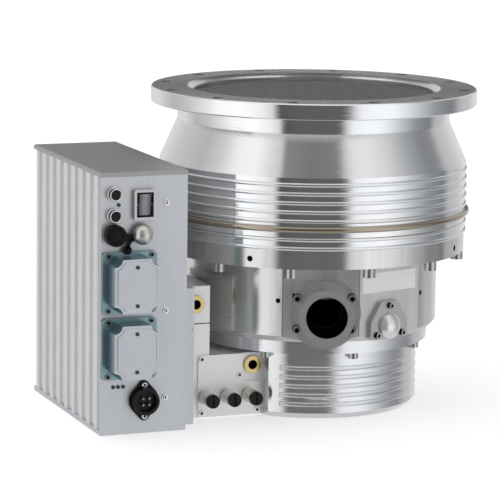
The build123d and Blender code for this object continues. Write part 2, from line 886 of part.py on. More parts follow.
# ==== Bearing carrier, magnetic bearings, sensors and motor winding ====
with BuildPart() as bearing_carrier:
    with BuildSketch(Plane.XZ):
        with BuildLine():
            Polyline(
                (carrier_bore, carrier_bottom), (carrier_outer, carrier_bottom),
                (carrier_outer, middle_floor), (carrier_flange_radius, middle_floor),
                (carrier_flange_radius, middle_floor + carrier_flange_thickness),
                (carrier_outer, middle_floor + carrier_flange_thickness),
                (carrier_outer, carrier_top), (touchdown_radius, carrier_top),
                (touchdown_radius, carrier_top - carrier_cap),
                (carrier_bore, carrier_top - carrier_cap), close=True,
            )
        make_face()
    revolve(axis=Axis.Z)

with BuildPart() as radial_magnets:
    for bottom in magnet_bottoms:
        add(ring(magnet_sleeve_radius + air_gap, carrier_bore, bottom, bottom + magnet_height))

with BuildPart() as motor_winding:
    add(ring(motor_radius + air_gap, carrier_bore, motor_bottom, motor_bottom + motor_height))

thrust_top = thrust_bottom + thrust_thickness
with BuildPart() as axial_magnets:
    add(ring(axial_magnet_bore, carrier_bore, thrust_top + air_gap,
             thrust_top + air_gap + axial_magnet_height))
    with BuildSketch(Plane.XZ):
        with BuildLine():
            seat_top = carrier_bottom + touchdown_height
            Polyline(
                (touchdown_radius, carrier_bottom), (carrier_bore, carrier_bottom),
                (carrier_bore, thrust_bottom - air_gap),
                (axial_magnet_bore, thrust_bottom - air_gap), (axial_magnet_bore, seat_top),
                (touchdown_radius, seat_top), close=True,
            )
        make_face()
    revolve(axis=Axis.Z)

with BuildPart() as touchdown_bearings:
    for bottom in (carrier_bottom, carrier_top - touchdown_height):
        top = bottom + touchdown_height
        inner = shaft_radius + slide_gap
        add(ring(inner, inner + touchdown_race, bottom, top))
        add(ring(touchdown_radius - touchdown_race, touchdown_radius, bottom, top))

with BuildPart() as position_sensors:
    for bottom in sensor_bottoms:
        add(ring(sensor_bore, carrier_bore, bottom, bottom + sensor_height))

# ==== Connection block: coolant, fuses and the column beside the drive unit ====
with BuildPart() as connection_block:
    with BuildSketch():
        with Locations(((block_left + base_flat_x) / 2, (block_front + block_back) / 2)):
            Rectangle(base_flat_x - block_left, block_back - block_front)
    extrude(amount=block_top)
    with BuildSketch(front_plane(lower_fitting_x, block_front, lower_fitting_z)):
        Circle(fitting_stem_radius)
    extrude(amount=-fitting_length, mode=Mode.SUBTRACT)
    for x in fuse_xs:
        with BuildSketch(front_plane(x, block_front, fuse_height)):
            Circle(fuse_stem_radius)
        extrude(amount=-fuse_stem_length, mode=Mode.SUBTRACT)
    with BuildSketch(Plane.XY.offset(block_top)):
        with Locations((-base_screw_reach, 0)):
            Circle(m6_screw["head"] + 2 * slide_gap)
    extrude(amount=-block_relief, mode=Mode.SUBTRACT)

panel_front = block_front - panel_thickness
panel_tall = block_top - panel_margin
panel_middle = ((panel_left + panel_right) / 2, (block_top + panel_margin) / 2)
notch_left = panel_right - panel_notch_width
panel_screw_points = [
    (panel_left + panel_screw_inset, block_top - panel_screw_inset),
    (panel_left + panel_screw_inset, panel_margin + panel_foot_inset),
    (panel_right - panel_screw_inset, panel_margin + panel_foot_inset),
    (notch_left - panel_screw_inset, panel_notch_bottom + 2 * panel_screw_inset),
]
with BuildPart() as connection_panel:
    with BuildSketch(front_plane(panel_middle[0], block_front, panel_middle[1])):
        Rectangle(panel_width, panel_tall)
        with Locations((panel_width / 2, panel_tall / 2)):
            Rectangle(2 * panel_notch_width, 2 * (block_top - panel_notch_bottom),
                      mode=Mode.SUBTRACT)
        fillet(vertices(), radius=panel_corner)
    extrude(amount=panel_thickness)
    for x in fuse_xs:
        with BuildSketch(front_plane(x, panel_front, fuse_height)):
            Circle(fuse_stem_radius)
        extrude(amount=-panel_thickness, mode=Mode.SUBTRACT)

with BuildPart() as connection_screws:
    for x, z in panel_screw_points:
        with Locations(front_plane(x, panel_front, z)):
            Cylinder(m3_screw["head"], m3_screw["height"],
                     align=(Align.CENTER, Align.CENTER, Align.MIN))

with BuildPart() as fuse_seats:
    for x in fuse_xs:
        with Locations(front_plane(x, panel_front, fuse_height)):
            Cylinder(fuse_seat_radius, fuse_seat_thickness,
                     align=(Align.CENTER, Align.CENTER, Align.MIN))
            with Locations((0, 0, -fuse_stem_length)):
                Cylinder(fuse_stem_radius, 2 * fuse_stem_length,
                         align=(Align.CENTER, Align.CENTER, Align.MIN))

fuse_cap_front = panel_front - fuse_seat_thickness - slide_gap - fuse_cap_length
fuse_caps = []
for x in fuse_xs:
    cap_plane = front_plane(x, fuse_cap_front, fuse_height)
    with BuildPart() as fuse_cap:
        with BuildSketch(cap_plane):
            Circle(fuse_cap_radius)
        extrude(amount=-fuse_cap_length)
        front_rim = fuse_cap.edges().sort_by(Axis.Y)[0]
        chamfer(front_rim, length=fuse_cap_edge)
        with BuildSketch(cap_plane):
            Rectangle(fuse_cap_slot, 3 * fuse_cap_radius)
        extrude(amount=-fuse_cap_slot_depth, mode=Mode.SUBTRACT)
        with BuildSketch(cap_plane.offset(-fuse_cap_length)):
            Circle(fuse_stem_radius + slide_gap)
        extrude(amount=fuse_stem_length + slide_gap, mode=Mode.SUBTRACT)
    fuse_caps.append(fuse_cap)

with BuildPart() as service_column:
    with BuildSketch(Plane.XY.offset(block_top)):
        with Locations(((block_left + column_right) / 2, (block_front + block_back) / 2)):
            Rectangle(column_right - block_left, block_back - block_front)
    extrude(amount=column_top - block_top)
    with BuildSketch(front_plane(block_left, block_front, column_seam_height)):
        Rectangle(4 * (column_right - block_left), column_seam_width)
    extrude(amount=-column_seam_depth, mode=Mode.SUBTRACT)
    with BuildSketch(front_plane(upper_fitting_x, block_front, upper_fitting_z)):
        Circle(fitting_stem_radius)
    extrude(amount=-fitting_length, mode=Mode.SUBTRACT)

with BuildPart() as water_fittings:
    for x, z in ((lower_fitting_x, lower_fitting_z), (upper_fitting_x, upper_fitting_z)):
        with Locations(front_plane(x, block_front, z)):
            Cylinder(fitting_radius, fitting_flange, align=(Align.CENTER, Align.CENTER, Align.MIN))
            with Locations((0, 0, -fitting_length)):
                Cylinder(fitting_stem_radius, fitting_length,
                         align=(Align.CENTER, Align.CENTER, Align.MIN))
            with Locations((0, 0, fitting_flange)):
                Hole(fitting_thread_radius, depth=fitting_thread_depth)

with BuildPart() as mounting_bracket:
    with BuildSketch():
        with Locations(((drive_right + block_left) / 2, (bracket_front + bracket_back) / 2)):
            Rectangle(block_left - drive_right, bracket_back - bracket_front)
    extrude(amount=bracket_top)
    with BuildSketch(front_plane(block_left, bracket_front, column_seam_height)):
        Rectangle(2 * bracket_rebate, bracket_rebate_width)
    extrude(amount=-bracket_rebate, mode=Mode.SUBTRACT)

# ==== Drive unit: ribbed housing, lid, base plate and front panel ====
drive_middle = (drive_left + drive_right) / 2
shell_left = drive_left + rib_height
shell_front = drive_front + plate_thickness
shell_middle = ((shell_left + drive_right) / 2, (shell_front + drive_back) / 2)
shell_width = drive_right - shell_left
shell_depth = drive_back - shell_front
shell_height = drive_height - 2 * lid_thickness
rib_pitch_side = shell_depth / rib_count

with BuildPart() as drive_housing:
    with BuildSketch(Plane.XY.offset(lid_thickness)):
        with Locations(shell_middle):
            Rectangle(shell_width, shell_depth)
        with Locations((shell_left - rib_height / 2, shell_middle[1])):
            with GridLocations(0, rib_pitch_side, 1, rib_count):
                Trapezoid(rib_width, rib_height, rib_flank_angle, rotation=90)
        with Locations(shell_middle):
            Rectangle(shell_width - 2 * drive_wall, shell_depth - 2 * drive_wall,
                      mode=Mode.SUBTRACT)
        with Locations((shell_middle[0], shell_front)):
            Rectangle(shell_width - 2 * drive_wall, 3 * drive_wall, mode=Mode.SUBTRACT)
    extrude(amount=shell_height)

with BuildPart() as drive_lid:
    with BuildSketch(Plane.XY.offset(drive_height - lid_thickness)):
        with Locations((drive_middle, (drive_front + drive_back) / 2)):
            Rectangle(drive_width + 2 * lid_overhang, drive_depth + 2 * lid_overhang)
    extrude(amount=lid_thickness)
    chamfer(drive_lid.faces().sort_by(Axis.Z)[-1].edges(), length=lid_chamfer)

with BuildPart() as drive_base_plate:
    with BuildSketch():
        with Locations((drive_middle, (drive_front + drive_back) / 2)):
            Rectangle(drive_width, drive_depth)
    extrude(amount=lid_thickness)

with BuildPart() as front_panel:
    with BuildSketch(front_plane(drive_middle, shell_front, drive_height / 2)):
        Rectangle(drive_width, shell_height)
    extrude(amount=plate_thickness)
    for z in button_zs:
        with BuildSketch(front_plane(button_x, drive_front, z)):
            Circle(button_radius + slide_gap)
        extrude(amount=-plate_thickness, mode=Mode.SUBTRACT)
    with BuildSketch(front_plane(switch_x, drive_front, switch_z)):
        Rectangle(switch_width - 2 * switch_wall, switch_tall - 2 * switch_wall)
    extrude(amount=-plate_thickness, mode=Mode.SUBTRACT)

with BuildPart() as circuit_boards:
    board_x = (shell_left + board_inset, drive_right - board_inset)
    with BuildSketch(Plane.XY.offset(lid_thickness)):
        for x in board_x:
            with Locations((x, shell_middle[1])):
                Rectangle(board_thickness, shell_depth - 2 * (drive_wall + board_margin))
    extrude(amount=shell_height - board_margin)

# ==== Buttons and rocker switch ====
with BuildPart() as button_bezels:
    for z in button_zs:
        with BuildSketch(front_plane(button_x, drive_front, z)):
            Circle(bezel_radius)
            Circle(button_radius + slide_gap, mode=Mode.SUBTRACT)
        extrude(amount=bezel_height)

buttons = []
for z in button_zs:
    with BuildPart() as button:
        with BuildSketch(front_plane(button_x, drive_front - button_reach, z)):
            Circle(button_radius)
        extrude(amount=-(button_reach + plate_thickness + slide_gap + button_collar_thickness))
        chamfer(button.edges().sort_by(Axis.Y)[0], length=button_edge)
        with BuildSketch(front_plane(button_x, shell_front + slide_gap, z)):
            Circle(button_radius + button_collar)
        extrude(amount=-button_collar_thickness)
    buttons.append(button)

with BuildPart() as switch_frame:
    with BuildSketch(front_plane(switch_x, drive_front, switch_z)):
        RectangleRounded(switch_width, switch_tall, switch_corner)
        Rectangle(switch_width - 2 * switch_wall, switch_tall - 2 * switch_wall,
                  mode=Mode.SUBTRACT)
    extrude(amount=switch_reach)

with BuildPart() as power_rocker:
    tilt_rise = rocker_tall / 2 * tan(radians(rocker_tilt))
    with BuildSketch(Plane.YZ.offset(switch_x)):
        with BuildLine():
            Polyline(
                (drive_front, switch_z - rocker_tall / 2),
                (drive_front - rocker_thickness + tilt_rise, switch_z - rocker_tall / 2),
                (drive_front - rocker_thickness + tilt_rise / 2, switch_z),
                (drive_front - rocker_thickness - tilt_rise / 2, switch_z + rocker_tall / 2),
                (drive_front, switch_z + rocker_tall / 2), close=True,
            )
        make_face()
    extrude(amount=rocker_width / 2, both=True)
    pivot_y = drive_front - rocker_thickness / 2
    pivot_reach = switch_width / 2 - switch_wall - rocker_pivot_play
    with BuildSketch(Plane.YZ.offset(switch_x)):
        with Locations((pivot_y, switch_z)):
            Circle(rocker_pivot_radius)
    extrude(amount=pivot_reach, both=True)

# ==== Interface covers: flanged caps with scalloped corners ====
cover_centres = [(cover_x, z) for z in cover_zs]
cover_screw_points = [(sx * cover_screw_x, sz * cover_screw_z) for sx in (-1, 1) for sz in (-1, 1)]
with BuildPart() as interface_covers:
    for x, z in cover_centres:
        with BuildSketch(front_plane(x, drive_front, z)):
            RectangleRounded(cover_base_width, cover_base_tall, cover_base_corner)
        extrude(amount=cover_base_thickness)
        with BuildSketch(front_plane(x, drive_front - cover_base_thickness, z)):
            Rectangle(cover_width, cover_tall)
            with Locations(*cover_screw_points):
                Circle(cover_notch, mode=Mode.SUBTRACT)
        extrude(amount=cover_reach - cover_base_thickness)
        with BuildSketch(front_plane(x, drive_front - cover_reach, z)):
            Rectangle(cover_width - 2 * cover_face_border, cover_tall - 2 * cover_face_border)
            with Locations(*cover_screw_points):
                Circle(cover_notch + cover_face_border, mode=Mode.SUBTRACT)
        extrude(amount=cover_face_rise)

with BuildPart() as panel_screws:
    cover_screw_face = drive_front - cover_base_thickness
    for x, z in cover_centres:
        with Locations(front_plane(x, cover_screw_face, z)):
            with Locations(*cover_screw_points):
                Cylinder(m3_screw["head"], m3_screw["height"],
                         align=(Align.CENTER, Align.CENTER, Align.MIN))
    for drop in panel_screw_drops:
        with Locations(front_plane(drive_right - panel_screw_margin, drive_front,
                                   drive_height - drop)):
            Cylinder(m4_screw["head"], m4_screw["height"],
                     align=(Align.CENTER, Align.CENTER, Align.MIN))

with BuildPart() as status_lamps:
    face = drive_front - cover_reach - cover_face_rise
    for x, z in cover_centres:
        with Locations(front_plane(x, face, z)):
            with Locations((0, cover_lamp_offset), (0, -cover_lamp_offset)):
                Cylinder(lamp_radius, lamp_height, align=(Align.CENTER, Align.CENTER, Align.MIN))
    lamp_points = [(button_lamp_inset, drive_height - button_lamp_drop)]
    lamp_points += [(lamp_row_inset + i * lamp_row_pitch, lamp_row_height)
                    for i in range(lamp_row_count)]
    for inset, z in lamp_points:
        with Locations(front_plane(drive_left + inset, drive_front, z)):
            Cylinder(lamp_radius, lamp_height, align=(Align.CENTER, Align.CENTER, Align.MIN))

# ==== Round power connector ====
with BuildPart() as power_socket:
    with BuildSketch(front_plane(power_x, drive_front, power_z)):
        with Locations((0, power_screw_spacing / 2), (0, -power_screw_spacing / 2)):
            Circle(power_ear_radius)
        Circle(power_flange_radius)
        make_hull()
    extrude(amount=power_flange_thickness)
    with BuildSketch(front_plane(power_x, drive_front, power_z)):
        Circle(power_ring_radius)
    extrude(amount=power_ring_reach)
    with BuildSketch(front_plane(power_x, drive_front - power_ring_reach, power_z)):
        Circle(power_well_radius)
    extrude(amount=-power_well_depth, mode=Mode.SUBTRACT)

with BuildPart() as power_pins:
    well_floor = drive_front - power_ring_reach + power_well_depth
    with Locations(front_plane(power_x, well_floor, power_z)):
        with PolarLocations(power_pin_reach, power_pin_count, start_angle=45):
            Cylinder(power_pin_radius, power_pin_length,
                     align=(Align.CENTER, Align.CENTER, Align.MIN))

# ==== Service connector with its chrome cap, rubber dust cap and strap ====
service_crown = ((service_dome_radius**2 + service_dome_length**2)
                 / (2 * service_dome_length))
with BuildPart() as service_connector:
    with BuildSketch(Plane(origin=(service_x, drive_front, service_z), x_dir=(0, 0, 1),
                           z_dir=(1, 0, 0))):
        with BuildLine():
            neck = Polyline(
                (0, 0), (service_neck_radius, 0), (service_neck_radius, service_neck_length),
                (service_dome_radius, service_neck_length),
            )
            dome_top = (0, service_neck_length + service_dome_length)
            RadiusArc(neck @ 1, dome_top, -service_crown)
            Line(dome_top, (0, 0))
        make_face()
    revolve(axis=Axis((service_x, drive_front, service_z), (0, -1, 0)))

with BuildPart() as cap_socket:
    with BuildSketch(front_plane(cap_x, drive_front, service_z)):
        Circle(cap_socket_radius)
    extrude(amount=cap_socket_reach)

with BuildPart() as dust_cap:
    cap_front = drive_front - cap_seat - cap_length
    with BuildSketch(front_plane(cap_x, cap_front, service_z)):
        Circle(cap_radius)
    extrude(amount=-cap_length)
    chamfer(dust_cap.edges().sort_by(Axis.Y)[0], length=cap_edge)
    with BuildSketch(front_plane(cap_x, drive_front - cap_seat, service_z)):
        Circle(cap_socket_radius + slide_gap)
    extrude(amount=cap_socket_reach - cap_seat + slide_gap, mode=Mode.SUBTRACT)

strap_left = cap_x + cap_radius + slide_gap
with BuildPart() as dust_cap_strap:
    with BuildSketch(front_plane(service_x, drive_front - strap_stand_off, service_z)):
        Circle(service_neck_radius + strap_eye_wall)
        with Locations(((strap_left - service_x) / 2, 0)):
            Rectangle(service_x - strap_left, strap_width)
        with Locations((strap_left - service_x + strap_width, -strap_drop / 2)):
            Rectangle(strap_width, strap_drop)
        with Locations((strap_left - service_x + strap_width / 2, -strap_drop)):
            Rectangle(2 * strap_width, strap_width)
        Circle(service_neck_radius + strap_eye_play, mode=Mode.SUBTRACT)
    extrude(amount=strap_thickness)

pieces = {
    "inlet_housing": inlet_housing, "housing_band": housing_band,
    "inlet_screen": inlet_screen, "screen_ring": screen_ring,
    "base_housing": base_housing, "base_cylinder": base_cylinder, "seals": seals,
    "bottom_cover": bottom_cover, "housing_screws": housing_screws, "base_screws": base_screws,
    "fore_vacuum_port": fore_vacuum_port, "purge_plate": purge_plate, "purge_cap": purge_cap,
    "port_screws": port_screws, "turbine_rotor": turbine_rotor, "rotor_shaft": rotor_shaft,
    "rotor_bolts": rotor_bolts, "thrust_disc": thrust_disc, "motor_rotor": motor_rotor,
    "bearing_sleeves": bearing_sleeves, "stator_disc_1": stator_discs[0],
    "stator_disc_2": stator_discs[1], "stator_disc_3": stator_discs[2],
    "spacer_rings": spacer_rings, "drag_stator": drag_stator,
    "bearing_carrier": bearing_carrier, "radial_magnets": radial_magnets,
    "motor_winding": motor_winding, "axial_magnets": axial_magnets,
    "touchdown_bearings": touchdown_bearings, "position_sensors": position_sensors,
    "connection_block": connection_block, "connection_panel": connection_panel,
    "connection_screws": connection_screws, "fuse_seats": fuse_seats,
    "fuse_cap_left": fuse_caps[0], "fuse_cap_middle": fuse_caps[1],
    "fuse_cap_right": fuse_caps[2], "service_column": service_column,
    "water_fittings": water_fittings, "mounting_bracket": mounting_bracket,
    "drive_housing": drive_housing, "drive_lid": drive_lid,
    "drive_base_plate": drive_base_plate, "front_panel": front_panel,
    "circuit_boards": circuit_boards, "button_bezels": button_bezels,
    "start_button": buttons[0], "stop_button": buttons[1], "switch_frame": switch_frame,
    "power_rocker": power_rocker, "interface_covers": interface_covers,
    "panel_screws": panel_screws, "status_lamps": status_lamps, "power_socket": power_socket,
    "power_pins": power_pins, "service_connector": service_connector,
    "cap_socket": cap_socket, "dust_cap": dust_cap, "dust_cap_strap": dust_cap_strap,
}
os.makedirs("parts", exist_ok=True)
for name, piece in pieces.items():
    piece.part.label = name
    export_step(piece.part, f"parts/{name}.step")
print(len(pieces), "pieces written")
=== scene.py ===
# %% [markdown]
# # Turbomolecular vacuum pump in a plain studio
#
# The pump is a stack of turned metal: an inlet flange on a ribbed casing, a brushed middle
# body with two flats, and a grooved base. A flat drive unit stands beside it. Its solids are
# loaded as one fixed frame, in metres, with Z up the rotor's axis. This file gives each piece
# a finish, models what a solid model leaves plain, such as woven wire and screw sockets, and
# then sets up a studio and a camera.

# %% Tools and the frame
import json
import math

import bmesh
import bpy
from mathutils import Matrix, Vector


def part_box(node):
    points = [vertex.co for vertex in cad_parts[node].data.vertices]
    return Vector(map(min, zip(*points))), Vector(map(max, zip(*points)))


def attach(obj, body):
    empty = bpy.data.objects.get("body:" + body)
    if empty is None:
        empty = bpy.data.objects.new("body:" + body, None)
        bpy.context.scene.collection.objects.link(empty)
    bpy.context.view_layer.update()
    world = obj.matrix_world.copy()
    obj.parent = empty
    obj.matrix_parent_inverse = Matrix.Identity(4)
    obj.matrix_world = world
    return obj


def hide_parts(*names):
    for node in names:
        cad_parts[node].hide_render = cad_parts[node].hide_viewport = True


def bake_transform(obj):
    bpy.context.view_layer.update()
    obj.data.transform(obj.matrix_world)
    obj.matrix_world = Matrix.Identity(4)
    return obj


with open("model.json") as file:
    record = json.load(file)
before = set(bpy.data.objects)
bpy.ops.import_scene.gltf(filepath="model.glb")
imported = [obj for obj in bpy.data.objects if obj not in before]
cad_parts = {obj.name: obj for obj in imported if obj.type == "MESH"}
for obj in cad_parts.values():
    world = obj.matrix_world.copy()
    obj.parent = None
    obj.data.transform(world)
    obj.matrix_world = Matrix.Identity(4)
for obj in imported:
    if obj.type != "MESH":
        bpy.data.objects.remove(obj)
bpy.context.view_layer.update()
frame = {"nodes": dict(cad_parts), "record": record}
MM = 0.001

# %% [markdown]
# ## Writing a finish as an expression
#
# A shader is a graph of nodes, which is slow to read when it is wired by hand. Here a small
# class wraps one output socket and gives it Python's operators, so that
# `0.2 + 0.1 * streaks` adds its own Math nodes. A second class owns the graph and has one
# method for every other kind of node.

# %% A value that varies over a surface
class Value:
    """One output socket of a graph, with Python's operators."""

    def __init__(self, graph, socket):
        self.graph = graph
        self.socket = socket

    def maths(self, operation, *others):
        return self.graph.node("ShaderNodeMath", {"operation": operation}, self, *others)

    def __add__(self, other):
        return self.maths("ADD", other)

    def __mul__(self, other):
        return self.maths("MULTIPLY", other)

    def __sub__(self, other):
        return self.maths("SUBTRACT", other)

    def __rsub__(self, other):
        return self.graph.node("ShaderNodeMath", {"operation": "SUBTRACT"}, other, self)

    def __truediv__(self, other):
        return self.maths("DIVIDE", other)

    def __pow__(self, other):
        return self.maths("POWER", other)

    __radd__ = __add__
    __rmul__ = __mul__


# %% A graph that makes any node from its settings and the values of its sockets
class Graph:
    """A node tree that is filled in by calls."""

    def __init__(self, tree):
        self.tree = tree

    def node(self, kind, settings=None, *values, **named):
        made = self.tree.nodes.new(kind)
        for setting, value in (settings or {}).items():
            if setting == "stops":
                ramp = made.color_ramp
                while len(ramp.elements) < len(value):
                    ramp.elements.new(0.5)
                for element, (place, shade) in zip(ramp.elements, value):
                    element.position = place
                    element.color = (*shade, 1.0)
            else:
                setattr(made, setting, value)
        for i, value in enumerate(values):
            self.feed(made.inputs[i], value)
        for name, value in named.items():
            self.feed(made.inputs[name.replace("_", " ")], value)
        return Value(self, made.outputs[0])

    def feed(self, socket, value):
        if isinstance(value, Value):
            self.tree.links.new(value.socket, socket)
        else:
            socket.default_value = value

    def output(self, value, name):
        return Value(self, value.socket.node.outputs[name])

    def place(self):
        """The point of the surface in the frame, in metres."""
        texture = self.node("ShaderNodeTexCoord")
        return self.output(texture, "Object")

    def parts(self, vector):
        split = self.node("ShaderNodeSeparateXYZ", None, vector)
        return [self.output(split, axis) for axis in "XYZ"]

    def vector(self, x, y, z):
        return self.node("ShaderNodeCombineXYZ", None, x, y, z)

    def noise(self, vector, scale, detail=2.0, roughness=0.5):
        return self.node("ShaderNodeTexNoise", None, Vector=vector, Scale=scale,
                         Detail=detail, Roughness=roughness)

    def blend(self, amount, first, second):
        """A colour between two colours."""
        mixed = self.node("ShaderNodeMix", {"data_type": "RGBA"})
        node = mixed.socket.node
        self.feed(node.inputs[0], amount)
        self.feed(node.inputs[6], first)
        self.feed(node.inputs[7], second)
        return Value(self, node.outputs[2])


# %% [markdown]
# ## A finish
#
# Each finish starts from Blender's one physical shader. What is the same all over a surface is
# set on the shader's own sockets. What varies, such as the tone and roughness along tool
# marks, is an expression on the surface's place in the frame.

# %% A finish with its own graph
finishes = {}


class Finish(Graph):
    """A named material whose graph ends in one Principled shader."""

    def __init__(self, name, tone, roughness=0.5, metallic=0.0, **sockets):
        self.material = bpy.data.materials.new(name)
        self.material.use_nodes = True
        super().__init__(self.material.node_tree)
        self.shader = self.tree.nodes["Principled BSDF"]
        self.tone = (*tone, 1.0)
        self.set(Base_Color=self.tone, Roughness=roughness, Metallic=metallic, **sockets)
        self.material.diffuse_color = self.tone
        finishes[name] = self.material

    def set(self, **sockets):
        for name, value in sockets.items():
            self.feed(self.shader.inputs[name.replace("_", " ")], value)

    def relief(self, height, strength, distance):
        bump = self.node("ShaderNodeBump", None, Strength=strength, Distance=distance,
                         Height=height)
        self.set(Normal=bump)

    def shades(self, amount, dark, light):
        """Base colour that runs from a darker to a lighter share of the finish's tone."""
        low = (*[c * dark for c in self.tone[:3]], 1.0)
        high = (*[min(c * light, 1.0) for c in self.tone[:3]], 1.0)
        self.set(Base_Color=self.blend(amount, low, high))


# %% [markdown]
# ## Turned metal
#
# A lathe leaves rings: on a wall they lie at constant height, on a face at constant radius.
# Noise that reads only the radius and the height therefore follows every turned surface of the
# pump at once, with no need to know which way it faces.

# %% Turned aluminium and steel
def turned(name, tone, roughness, depth=0.00004, metallic=1.0, **sockets):
    finish = Finish(name, tone, metallic=metallic, **sockets)
    x, y, z = finish.parts(finish.place())
    radius = (x * x + y * y) ** 0.5
    across = finish.vector(radius, z, 0.0)
    passes = finish.noise(across, 420.0, 3.0, 0.6)
    furrows = finish.noise(across, 3600.0, 1.0)
    finish.set(Roughness=roughness + 0.04 * passes)
    finish.shades(passes, 0.95, 1.04)
    finish.relief(furrows + 0.1 * passes, 1.0, depth)
    return finish


turned("machined_aluminium", (0.87, 0.88, 0.895), 0.045)
turned("bright_ring", (0.84, 0.84, 0.85), 0.08)
turned("soft_turned", (0.80, 0.81, 0.83), 0.06, 0.00006, 0.88)
turned("bronze_band", (0.46, 0.40, 0.32), 0.09)
turned("ground_steel", (0.60, 0.60, 0.61), 0.15)
print("turned finishes:", sorted(finishes))

# %% Metal turned about axes that lie flat, with painted shade inside the bores
def bored(name, tone, axis_places, turn, bore, roughness=0.16, metallic=1.0):
    """Each axis goes through one of the places, at an angle from -Y in the level plane."""
    finish = Finish(name, tone, metallic=metallic)
    radius = 1.0
    for axis_place in axis_places:
        x, y, z = finish.parts(finish.place())
        x, y, z = x - axis_place[0], y - axis_place[1], z - axis_place[2]
        sideways = x * math.cos(turn) + y * math.sin(turn)
        radius = ((sideways * sideways + z * z) ** 0.5).maths("MINIMUM", radius)
    rings = finish.noise(finish.vector(radius, 0.0, 0.0), 900.0, 3.0, 0.6)
    out_of_bore_shade = finish.node("ShaderNodeMapRange", {"interpolation_type": "SMOOTHSTEP"}, radius,
                         From_Min=bore + 0.0002, From_Max=bore + 0.0008)
    finish.set(Roughness=roughness + 0.08 * rings)
    unshaded_tone = finish.blend(rings, (*[c * 0.93 for c in tone], 1.0), finish.tone)
    # within the bore the base colour turns near-black: painted shade down the bore
    finish.set(Base_Color=finish.blend(out_of_bore_shade, (0.006, 0.006, 0.006, 1.0), unshaded_tone))
    finish.relief(rings, 1.0, 0.0001)
    return finish


mounts = {mount["name"]: mount for mount in frame["record"]["mounts"]}
water_ports = [mounts[f"water_port_{which}"] for which in ("lower", "upper")]
port = mounts["fore_vacuum_bore"]
side_turn = math.radians(17.5)
bored("port_metal", (0.84, 0.83, 0.815), [port["pos_m"]], -side_turn,
      port["dims"]["r_mm"] * MM, 0.20, 0.84)
bored("fitting_brass", (0.66, 0.50, 0.23), [water["pos_m"] for water in water_ports], 0.0,
      water_ports[0]["dims"]["r_mm"] * MM, 0.22)

# %% [markdown]
# ## Brushed, satin and painted metal
#
# The middle body is finished with a brush that ran up and down it, which is warmer than the
# turned casing. Panels are anodised: their grain runs one way. Both are noise that is
# stretched along one direction.

# %% Brushed metal, grain running along one axis
def brushed(name, tone, roughness, stretch, grain=0.08, metallic=1.0, light=1.06, dark=0.93,
            depth=0.00003):
    finish = Finish(name, tone, metallic=metallic)
    x, y, z = finish.parts(finish.place())
    grains = finish.noise(finish.vector(x * stretch[0], y * stretch[1], z * stretch[2]),
                          1.0, 4.0, 0.65)
    patches = finish.noise(finish.place(), 9.0, 2.0)
    finish.set(Roughness=roughness - grain / 2 + grain * grains + 0.04 * patches)
    finish.shades(grains, dark, light)
    finish.relief(grains, 0.2, depth)
    return finish


brushed("panel_aluminium", (0.605, 0.62, 0.65), 0.36, (1400, 1400, 30), 0.06, 0.6, 1.10, 0.87)
brushed("ribbed_aluminium", (0.82, 0.83, 0.84), 0.40, (1400, 60, 1400), 0.06, 0.6)
brushed("block_metal", (0.92, 0.925, 0.93), 0.42, (500, 500, 500), 0.05, 0.3, 1.03, 0.97)
brushed("rotor_alloy", (0.78, 0.79, 0.81), 0.28, (300, 300, 900))
brushed("laminations", (0.26, 0.26, 0.28), 0.45, (30, 30, 2500), 0.2)
brushed("winding", (0.52, 0.28, 0.13), 0.38, (400, 400, 1800), 0.2, 0.4)

# %% The body: a brushed wall with streaks, and two flats that scatter more light
wall_radius, flat_distance = 0.130, 0.124
body = Finish("brushed_aluminium", (0.79, 0.782, 0.768))
x, y, z = body.parts(body.place())
milled = body.node("ShaderNodeMapRange", None, (x * x + y * y) ** 0.5,
                   From_Min=wall_radius - 0.0001, From_Max=wall_radius - 0.0004)
streaks = body.noise(body.vector(x * 70, y * 70, z * 2), 1.0, 2.0)
grains = body.noise(body.vector(x * 300, y * 300, z * 12), 1.0, 4.0, 0.65)
body.set(Roughness=0.13 + 0.05 * streaks + 0.24 * milled, Metallic=0.92 - 0.12 * milled)
body.shades(grains * 0.6 + streaks * 0.9 - 0.25 + 0.1 * milled, 0.70, 1.10)
body.relief(body.noise(body.vector(x * 500, y * 500, z * 18), 1.0, 4.0, 0.65), 0.2, 0.00003)

# %% Paint, cast zinc, plastics, rubber and bright metal
def speckled(name, tone, roughness, metallic=0.0, scale=900.0, depth=0.00003, **sockets):
    finish = Finish(name, tone, metallic=metallic, **sockets)
    speckle = finish.noise(finish.place(), scale, 3.0, 0.6)
    patches = finish.noise(finish.place(), 25.0, 2.0)
    finish.set(Roughness=roughness - 0.04 + 0.05 * speckle + 0.05 * patches)
    finish.shades(speckle, 0.94, 1.05)
    finish.relief(speckle, 0.2, depth)
    return finish


speckled("lid_grey", (0.39, 0.39, 0.39), 0.42, 0.3)
zinc = speckled("zinc", (0.50, 0.525, 0.56), 0.28, 0.8, 500.0, 0.000005)
speckled("screw_steel", (0.56, 0.56, 0.56), 0.28, 1.0, 700.0)
screen = speckled("screen_steel", (0.19, 0.183, 0.175), 0.40, 1.0, 1500.0)
screen.shades(screen.noise(screen.place(), 320.0, 2.0, 0.6), 0.35, 1.7)
speckled("black_plastic", (0.008, 0.008, 0.009), 0.34, 0.0, 1500.0, Specular_IOR_Level=0.2)
# a matt black that stands in for shade: painted shade in sockets, holes and the inside of the pump
speckled("painted_recess_shade", (0.004, 0.004, 0.004), 0.85, 0.0, 1500.0, Specular_IOR_Level=0.1)
speckled("rubber", (0.005, 0.005, 0.006), 0.42, 0.0, 1200.0, Specular_IOR_Level=0.18)
window = speckled("grey_plastic", (0.16, 0.16, 0.18), 0.10, 0.0, 900.0)
speckled("clear_bezel", (0.50, 0.50, 0.50), 0.22, 0.8, 900.0)
speckled("brass", (0.62, 0.46, 0.20), 0.20, 1.0, 600.0)
speckled("nickel", (0.74, 0.72, 0.68), 0.34, 0.9, 500.0, 0.00001)
speckled("chrome", (0.80, 0.80, 0.79), 0.10, 1.0, 300.0)
